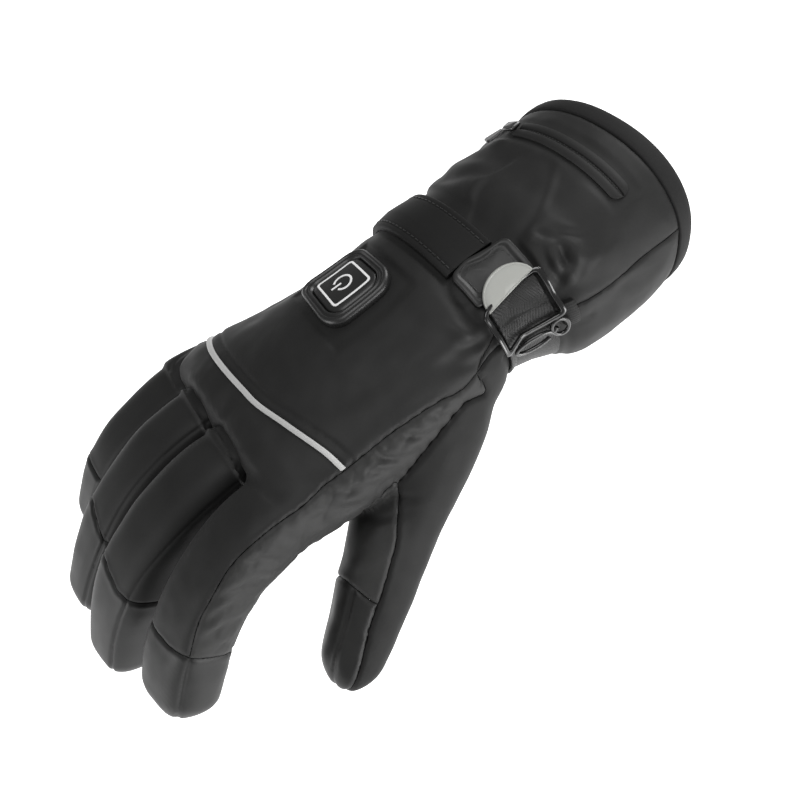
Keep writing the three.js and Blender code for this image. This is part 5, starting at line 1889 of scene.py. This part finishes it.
@dataclass
class Fastening:
    """The strap round the wrist with its leather end, buckle, label plate and webbing."""

    sleeve: Sleeve
    strap_width: float = 19.5
    strap_centre: float = -2.0
    strap_low: float = 0.1
    strap_high: float = 2.6
    strap_edge: float = 0.8
    strap_crown: float = 0.25
    strap_groove: float = 0.25
    stitch_inset: float = 2.4
    strap_angles: tuple[float, float] = (198.0, 74.0)
    patch_width: float = 23.0
    patch_centre: float = -4.5
    patch_high: float = 2.9
    patch_angles: tuple[float, float] = (72.5, 47.0)
    buckle_width: float = 25.0
    buckle_angles: tuple[float, float] = (47.0, 12.5)
    buckle_bar: float = 1.7
    buckle_bar_turn: float = 2.6
    buckle_low: float = 2.7
    buckle_high: float = 4.5
    skew: float = 0.28
    plate_radius: float = 11.2
    plate_height: float = 9.4
    plate_lean: float = 10.5
    bow_radius: float = 48.0
    plate_flat: float = 43.2
    webbing_width: float = 19.6
    webbing_step: float = 27.0
    webbing_sink: float = 2.0
    webbing_angles: tuple[float, float] = (46.0, -75.0)

    def build(self) -> None:
        """Makes every piece of the fastening."""
        self.kit = Wrapped(self.sleeve)
        self.strap()
        self.patch()
        self.webbing()
        self.buckle()
        self.plate()

    def strap(self) -> None:
        """Makes the cloth strap and its stitches."""
        profile = strap_profile(self.strap_width, self.strap_low, self.strap_high, self.strap_edge,
                                self.strap_crown, self.strap_groove)
        angles = np.linspace(*self.strap_angles, 130)
        points, faces, uv = self.kit.strip(angles, self.strap_centre, profile)
        make_piece("wrist_strap_shown", points, faces, STRAP, ["wrist_strap"], uv)
        lines = []
        for side in (-1, 1):
            reach = self.strap_centre + side * (self.strap_width / 2 - self.stitch_inset)
            path = self.sleeve.point(reach, np.linspace(197, 75, 120), self.strap_high + 0.02)
            lines.append(Stitching(path).build(self.kit))
        points, faces = joined(lines)
        make_piece("strap_stitches", points, faces, THREAD)

    def patch(self) -> None:
        """Makes the leather end with its raised border and stitches."""
        high = self.patch_high
        middle = sum(self.patch_angles) / 2
        turn = self.patch_angles[0] - self.patch_angles[1]
        outline = rounded_outline(self.patch_centre, middle, self.patch_width, turn, 2.2, 3.5)
        border = [(0, -0.7), (0.15, -0.25), (0.5, 0), (1.5, 0.05), (2.0, -0.05), (2.4, -0.45), (3.0, -0.5),
                  (4.0, -0.35), (6.0, -0.2), (9.0, -0.15)]
        layers = [(6, 0.1), (0, 0.1), *((inset, high + step) for inset, step in border)]
        points, faces, uv = self.kit.plate(outline, layers)
        make_piece("strap_patch_shown", points, faces, PATCH, ["strap_patch"], uv)
        inner = rounded_outline(self.patch_centre, middle, self.patch_width - 6.4, turn - 10.5, 1.5, 2.4)
        inner = np.concatenate([inner, inner[:1]])
        line = self.sleeve.point(inner[:, 0], inner[:, 1], high - 0.38)
        points, faces = Stitching(line, 2.4, 1.6, 0.22).build(self.kit)
        make_piece("patch_stitches", points, faces, THREAD)

    def webbing(self) -> None:
        """Makes the herringbone webbing as two bands, one over the other."""
        parts = []
        for low, high, stop in ((0.15, 1.5, self.webbing_angles[1]), (1.4, 2.5, self.webbing_step)):
            profile = strap_profile(self.webbing_width, low, high, 0.5, crown=0.1)
            angles = np.linspace(self.webbing_angles[0], stop, 120)
            parts.append(self.kit.strip(angles, self.patch_centre - 0.4, profile,
                                        sink=self.webbing_sink * ease(-angles, -7, 3)))
        points, faces = joined([(p, f) for p, f, _ in parts])
        uv = np.concatenate([u for _, _, u in parts])
        make_piece("strap_webbing_shown", points, faces, WEBBING, ["strap_webbing"], uv)

    def buckle(self) -> None:
        """Makes the glossy frame."""
        middle = sum(self.buckle_angles) / 2
        turn = self.buckle_angles[0] - self.buckle_angles[1]
        outer = rounded_outline(self.patch_centre, middle, self.buckle_width, turn, 2.4, 3.6, 20, 8)
        inner = rounded_outline(self.patch_centre, middle, self.buckle_width - 2 * self.buckle_bar,
                                turn - 2 * self.buckle_bar_turn, 1.2, 1.8, 20, 8)
        outer, inner = self.skewed(outer), self.skewed(inner)
        turns = np.radians(np.arange(0, 360, 22.5))
        half = (self.buckle_high - self.buckle_low) / 2
        across = 0.5 - 0.5 * np.sign(np.cos(turns)) * np.abs(np.cos(turns)) ** 0.6
        lift = self.buckle_low + half + half * np.sign(np.sin(turns)) * np.abs(np.sin(turns)) ** 0.7
        profile = list(zip(across, lift))
        points, faces = self.kit.ring(outer, inner, profile)
        make_piece("buckle_shown", points, faces, PLASTIC, ["buckle"], sharp=60)

    def skewed(self, outline: Array) -> Array:
        """Leans an outline, as the buckle sits askew on the strap."""
        return outline - np.outer(outline[:, 0] - self.patch_centre, (0, self.skew))

    def plate(self) -> None:
        """Makes the pale half-disc plate with its fine dark rim."""
        origin, axes = self.kit.frame(self.patch_centre, self.plate_flat, self.buckle_high + 0.6)
        axes = spun(axes, self.plate_lean)
        turns = np.radians(np.linspace(0, 180, 40))
        arc = np.stack([self.plate_radius * np.cos(turns), -self.plate_height * np.sin(turns)], 1)
        flat = np.stack([np.linspace(-1, 1, 24)[1:-1] * self.plate_radius, np.zeros(22)], 1)
        outline = np.concatenate([arc, flat])
        middle = np.array([0, -0.42 * self.plate_height])
        rings = []
        arm = outline - middle
        for inset, lift in ((3.5, -0.6), (0, -0.6), (0, 0.35), (0.2, 0.6), (0.55, 0.65), (0.75, 0.5),
                            (1.0, 0.5), (1.2, 0.6), (3.5, 0.65)):
            share = np.clip(1 - inset / np.linalg.norm(arm, axis=1), 0.05, 1)[:, None]
            place = middle + arm * share
            bow = -place[:, 1] ** 2 / (2 * self.bow_radius)
            rings.append(origin + np.column_stack([place, bow + lift]) @ axes)
        make_piece("label_plate_shown", *solid(rings), LABEL, ["label_plate"], sharp=35)


@dataclass
class Button:
    """The control button on the back of the hand, with its light's frame and on/off mark."""

    sleeve: Sleeve
    reach: float = 32.0
    angle: float = 111.0
    size: float = 27.0
    radius: float = 40.0
    corner: float = 0.24
    rim: float = 3.0
    high: float = 3.6
    face_high: float = 2.7
    light: float = 15.0
    line: float = 0.75
    mark: float = 7.0
    opening: float = 32.0

    def outline(self, size: float, corner: float | None = None) -> Array:
        """A rounded square of one size.

        Args:
            size: its side.
            corner: its corner's share of the side.

        Returns:
            Rows of reach and angle.
        """
        corner = self.corner if corner is None else corner
        per_mm = math.degrees(1 / self.radius)
        return rounded_outline(self.reach, self.angle, size, size * per_mm, size * corner,
                               size * corner * per_mm, 10, 12)

    def build(self) -> None:
        """Makes every piece of the button."""
        self.kit = Wrapped(self.sleeve)
        self.base()
        self.face()
        self.prints()

    def base(self) -> None:
        """Makes the base with its rolled rim."""
        outer, inner = self.outline(self.size), self.outline(self.size - 2 * self.rim - 1.2)
        steps = [(0, -1.7), (0.03, -1.0), (0.12, -0.4), (0.25, 0), (0.38, 0), (0.46, -0.35), (0.52, -0.85),
                 (0.6, -0.9), (0.68, -0.55), (0.78, -0.5), (0.88, -0.8), (0.96, -1.6), (1.0, -2.2)]
        profile = [(0, 0.1), *((share, self.high + step) for share, step in steps), (1.0, 0.1)]
        points, faces = self.kit.ring(outer, inner, profile)
        make_piece("button_base_shown", points, faces, RUBBER, ["button_base"], sharp=75)

    def face(self) -> None:
        """Makes the face that is pressed."""
        outline = self.outline(self.size - 2 * self.rim - 1.3)
        layers = [(5, 0.4), (0.3, 0.4), (0, 1.2), (0, 1.8), (0.3, 2.2), (0.9, 2.5), (2, self.face_high),
                  (4, self.face_high), (8, self.face_high)]
        points, faces, uv = self.kit.plate(outline, layers)
        make_piece("button_face_shown", points, faces, RUBBER, ["button_face"], uv, sharp=60)

    def prints(self) -> None:
        """Makes the light's frame and the on/off mark, which lie on the face."""
        low, high = self.face_high - 0.25, self.face_high + 0.18
        flat = [(0, low), (0, high - 0.08), (0.2, high), (0.8, high), (1, high - 0.08), (1, low)]
        outer, inner = self.outline(self.light, 0.09), self.outline(self.light - 2 * self.line, 0.07)
        points, faces = self.kit.ring(outer, inner, flat)
        make_piece("button_light_shown", points, faces, PRINT, ["button_light"])
        turns = np.radians(np.linspace(self.opening, 360 - self.opening, 60))
        per_mm = math.degrees(1 / self.radius)
        share, lift = np.array(flat, float).T
        radius, across = self.mark / 2 - share * self.line, (0.5 - share) * self.line
        rings = [self.sleeve.point(self.reach + radius * math.cos(t),
                                   self.angle - radius * math.sin(t) * per_mm, lift) for t in turns]
        make_piece("button_mark_ring_shown", *solid(rings), PRINT, ["button_mark_ring"])
        rings = [self.sleeve.point(self.reach + step, self.angle + across * per_mm, lift)
                 for step in np.linspace(0.6, self.mark * 0.4 + self.mark / 4, 14)]
        make_piece("button_mark_stroke_shown", *solid(rings), PRINT, ["button_mark_stroke"])


@dataclass
class CuffTrim:
    """The cuff's bound rim, and its pocket's welt and zip."""

    sleeve: Sleeve
    pocket_reach: float = -50.3
    pocket_width: float = 7.0
    pocket_angles: tuple[float, float] = (53.0, 124.0)
    pocket_high: float = 1.0
    slot: float = 0.7
    end_turn: float = 5.0
    tooth_pitch: float = 1.7
    tooth: float = 0.22
    slider_turn: float = 6.0
    pull_turn: float = -112.0
    binding_run: float = 250.0

    def build(self) -> None:
        """Makes every piece of the trim."""
        self.kit = Wrapped(self.sleeve)
        self.binding()
        self.welt()
        self.zip()

    def binding(self) -> None:
        """Makes the bound rim, which folds over the cuff's edge."""
        edge = -CUFF.length
        outer = [(6.6, -0.5), (6.45, 0.1), (6.0, 0.4), (4.5, 0.55), (2.5, 0.5), (1.0, 0.2), (0.1, -0.5),
                 (-0.4, -1.2), (-0.4, -2.8), (0.1, -3.9), (1.2, -4.6), (4.0, -4.9), (8.0, -4.9), (8.4, -4.4),
                 (6.6, -3.9)]
        across, lift = np.array(outer).T
        angles = np.linspace(0, 360, 240, endpoint=False)
        points = self.sleeve.point(edge + across, angles[:, None], lift)
        made, faces = solid(points.reshape(len(angles), len(across), 3), looped=True)
        run = np.linspace(0, self.binding_run, len(angles), endpoint=False)
        uv = np.stack(np.broadcast_arrays(run[:, None], across[None, :]), -1).reshape(-1, 2)
        make_piece("rim_binding_shown", made, faces, BINDING, ["rim_binding"], uv, fill=0.7)

    def welt(self) -> None:
        """Makes the pocket's two lips, with the zip's teeth between them."""
        half, top, slot = self.pocket_width / 2, self.pocket_high, self.slot / 2
        lip = [(half, 0.1), (half, 0.7), (half - 0.2, top - 0.35), (half - 0.7, top), (slot + 0.9, top),
               (slot + 0.25, top - 0.2), (slot, top - 0.6), (slot, 0.3)]
        profile = [(-half, 0.1), *lip, *((-across, lift) for across, lift in lip[:0:-1])]
        angles = np.linspace(*self.pocket_angles, 130)
        share = 1 - np.clip((angles - self.pocket_angles[0]) / self.end_turn, 0, 1)
        narrow = np.sqrt(1.004 - share**2)
        points, faces, uv = self.kit.strip(angles, self.pocket_reach, profile, narrow=narrow)
        make_piece("pocket_welt_shown", points, faces, SHELL, ["pocket_welt"], uv)
        teeth = []
        places = np.arange(self.pocket_angles[0] + 6, self.pocket_angles[1] - 1, self.tooth_pitch)
        for k, angle in enumerate(places):
            side = 0.1 if k % 2 else -0.1
            reach = self.pocket_reach + side + np.array([-0.2, 0.2])
            path = self.sleeve.point(reach, np.full(2, angle), 0.35)
            teeth.append(self.kit.tube(path, self.tooth, 6))
        points, faces = joined(teeth)
        make_piece("zip_teeth", points, faces, THREAD)

    def zip(self) -> None:
        """Makes the zip's slider and its pull."""
        angle = self.pocket_angles[1] + self.slider_turn
        origin, axes = self.kit.frame(self.pocket_reach, angle, 1.6)
        make_piece("zip_slider_shown", *block(origin, axes, 4.6, 6.6, 2.0, 0.6), METAL, ["zip_slider"])
        origin, axes = self.kit.frame(self.pocket_reach + 3.1, angle, 1.9)
        axes = spun(axes, self.pull_turn)
        profile = [(-1.3, 0.2), (1.3, 0.2), (1.75, 3.5), (2.1, 7.0), (1.6, 7.9), (-1.6, 7.9), (-2.1, 7.0),
                   (-1.75, 3.5)]
        rings = []
        for grow, lift in ((-0.35, -0.1), (0, 0.1), (0, 0.8), (-0.35, 1.1)):
            rows = np.array([(x + np.sign(x) * grow, y + (grow if y > 4 else -grow), lift)
                             for x, y in profile])
            rings.append(origin + rows @ axes)
        make_piece("zip_pull_shown", *solid(rings), METAL, ["zip_pull"], sharp=30)


def block(origin: Array, axes: Array, length: float, width: float, height: float,
          bevel: float) -> tuple[Array, Array]:
    """A block with rounded corners.

    Args:
        origin: its middle.
        axes: its axes, in rows.
        length: its size along the first axis.
        width: its size along the second.
        height: its size along the third.
        bevel: how round its corners are.

    Returns:
        Points and triangles.
    """
    turns = np.radians(np.arange(0, 360, 15) + 7.5)
    rings = []
    half = height / 2
    for inset, z in ((bevel, -half), (0, bevel - half), (0, half - bevel), (bevel, half)):
        x = np.clip(np.cos(turns) * 3, -1, 1) * (length / 2 - inset - bevel) + bevel * np.cos(turns)
        y = np.clip(np.sin(turns) * 3, -1, 1) * (width / 2 - inset - bevel) + bevel * np.sin(turns)
        rings.append(origin + np.stack([x, y, np.full_like(x, z)], 1) @ axes)
    return solid(rings)


@dataclass
class SideClip:
    """The ribbon loop, ring and hook at the side of the wrist."""

    sleeve: Sleeve
    loop_reach: float = -18.3
    loop_angles: tuple[float, float] = (21.0, 5.0)
    rod: float = 0.8
    lift: float = 3.2
    ring_place: tuple[float, float] = (-13.8, 8.0)
    hook_place: tuple[float, float] = (-3.6, 2.5)

    def build(self) -> None:
        """Makes the loop, and the ring with its hook."""
        kit = Wrapped(self.sleeve)
        profile = strap_profile(4.8, 0.1, 2.3, 0.7, crown=0.3)
        points, faces, uv = kit.strip(np.linspace(*self.loop_angles, 30), self.loop_reach, profile)
        make_piece("clip_loop_shown", points, faces, RIBBON, ["clip_loop"], uv)
        origin, axes = kit.frame(*self.ring_place, self.lift)
        turns = np.radians(np.linspace(0, 360, 36, endpoint=False))
        ring = origin + np.outer(np.cos(turns) * 3.2, axes[0]) + np.outer(np.sin(turns) * 3.8, axes[1])
        origin, axes = kit.frame(*self.hook_place, self.lift)
        turns = np.radians(np.linspace(188, 505, 60))
        flat = np.stack([7.2 * np.cos(turns), 2.5 * np.sin(turns) + 1.2 * np.cos(turns)], 1)
        flat = np.concatenate([[(-9.5, -3.0), (-8.4, -1.6)], flat])
        path = origin + flat[:, :1] * axes[0] + flat[:, 1:] * axes[1]
        points, faces = joined([kit.tube(ring, self.rod, closed=True), kit.tube(path, self.rod)])
        make_piece("side_clip_shown", points, faces, PLASTIC, ["side_clip"], sharp=60)


@dataclass
class Piping:
    """The pale piping across the knuckles."""

    sleeve: Sleeve
    width: float = 2.2
    high: float = 0.75
    angles: tuple[float, float] = (28.4, 187.0)

    def build(self) -> None:
        """Makes the piping."""
        half = self.width / 2
        turns = np.linspace(0, math.pi, 12)
        profile = [(-half + 0.1, -0.9), (half - 0.1, -0.9)]
        profile += [(half * math.cos(t), -0.2 + (self.high + 0.2) * math.sin(t) ** 0.6) for t in turns]
        kit = Wrapped(self.sleeve)
        angles = np.linspace(*self.angles, 220)
        points, faces, uv = kit.strip(angles, PIPING_LINE.column("reach", angles), profile)
        make_piece("reflective_piping_shown", points, faces, PIPING, ["reflective_piping"], uv, sharp=65)


# The studio


@dataclass
class Studio:
    """The camera, the lights and the floor."""

    right: tuple[float, float, float] = (0.760, -0.6234, -0.176)
    up: tuple[float, float, float] = (0.574, 0.523, 0.628)
    distance: float = 1.3
    aim_right: float = -0.02007
    aim_up: float = -0.04015
    pixels_per_mm: float = 2.74
    frame_pixels: float = 800.0
    sensor: float = 36.0
    floor_drop: float = 0.35

    def axes(self) -> tuple[Vector, Vector, Vector]:
        """The view's axes.

        Returns:
            Right, up and back towards the camera.
        """
        right = Vector(self.right).normalized()
        up = Vector(self.up)
        up = (up - right * up.dot(right)).normalized()
        return right, up, right.cross(up)

    def build(self) -> None:
        """Makes everything."""
        self.camera()
        self.lights()
        self.floor()
        self.world()

    def camera(self) -> None:
        """Makes the camera at the photograph's angle."""
        right, up, back = self.axes()
        eye = back * self.distance
        aim = right * self.aim_right + up * self.aim_up
        away = (eye - aim).normalized()
        tall = (up - away * up.dot(away)).normalized()
        wide = tall.cross(away)
        data = bpy.data.cameras.new("camera")
        data.sensor_width = self.sensor
        data.lens = self.pixels_per_mm * 1000 * self.distance / self.frame_pixels * self.sensor
        data.clip_start, data.clip_end = 0.05, 20
        camera = bpy.data.objects.new("camera", data)
        camera.matrix_world = Matrix((wide, tall, away)).transposed().to_4x4()
        camera.location = eye
        bpy.context.scene.collection.objects.link(camera)
        bpy.context.scene.camera = camera

    def lamp(self, name: str, side: float, high: float, front: float, size: float, power: float) -> None:
        """Makes a soft square light that faces the glove.

        Args:
            name: its name.
            side: how far right of the view it is, in metres.
            high: how far up the view.
            front: how far towards the camera.
            size: its side.
            power: its power in watts.
        """
        right, up, back = self.axes()
        data = bpy.data.lights.new(name, "AREA")
        data.shape = "SQUARE"
        data.size = size
        data.energy = power
        lamp = bpy.data.objects.new(name, data)
        place = right * side + up * high + back * front
        target = right * self.aim_right + up * self.aim_up
        lamp.location = place
        lamp.rotation_mode = "QUATERNION"
        lamp.rotation_quaternion = (target - place).to_track_quat("-Z", "Y")
        bpy.context.scene.collection.objects.link(lamp)

    def lights(self) -> None:
        """Makes the soft studio lights."""
        self.lamp("key", -0.2, 0.5, 1.0, 0.6, 6)
        self.lamp("fill", 0.9, -0.5, 0.6, 0.7, 13)
        self.lamp("side", -1.0, -0.55, 0.3, 0.5, 5)
        self.lamp("top", 0.5, 1.0, 0.1, 0.6, 8)

    def floor(self) -> None:
        """Makes the pale floor."""
        mesh = bpy.data.meshes.new("floor")
        corners = [(-8, -8), (8, -8), (8, 8), (-8, 8)]
        mesh.from_pydata([(x, y, -self.floor_drop) for x, y in corners], [], [(0, 1, 2, 3)])
        material = bpy.data.materials.new("floor_white")
        material.use_nodes = True
        shader = material.node_tree.nodes["Principled BSDF"]
        shader.inputs["Base Color"].default_value = (0.9, 0.9, 0.9, 1)
        shader.inputs["Roughness"].default_value = 0.9
        shader.inputs["Emission Color"].default_value = (1, 1, 1, 1)
        shader.inputs["Emission Strength"].default_value = 0.95
        mesh.materials.append(material)
        floor = bpy.data.objects.new("floor", mesh)
        bpy.context.scene.collection.objects.link(floor)

    def world(self) -> None:
        """Makes the even white surroundings."""
        world = bpy.data.worlds.new("white_room")
        world.use_nodes = True
        sky = world.node_tree.nodes["Background"]
        sky.inputs["Color"].default_value = (1, 1, 1, 1)
        sky.inputs["Strength"].default_value = 0.3
        bpy.context.scene.world = world
        bpy.context.scene.view_settings.view_transform = "Standard"


class Glove:
    """The whole glove."""

    def __init__(self) -> None:
        """Sets out the limbs."""
        self.sleeve = Sleeve()
        self.fingers = {digit.name: Finger(self.sleeve, digit, FINGER_TAPER)
                        for digit in (INDEX, MIDDLE, RING, LITTLE)}
        self.fingers["thumb"] = Finger(self.sleeve, THUMB, THUMB_TAPER)

    def build(self) -> None:
        """Makes every piece."""
        HandSkin(self.sleeve, self.fingers).build()
        for name in ("middle", "ring", "little"):
            FingerSkin(self.sleeve, self.fingers[name]).build()
        Piping(self.sleeve).build()
        Fastening(self.sleeve).build()
        Button(self.sleeve).build()
        CuffTrim(self.sleeve).build()
        SideClip(self.sleeve).build()


def corners(box: tuple[Vector, Vector]) -> list[list[float]]:
    """A box as plain lists."""
    return [list(map(float, corner)) for corner in box]


def main() -> None:
    """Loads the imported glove, dresses it and lights it."""
    logging.basicConfig(level=logging.INFO, format="%(name)s: %(message)s")
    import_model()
    Studio().build()
    Glove().build()


if __name__ == "__main__":
    main()
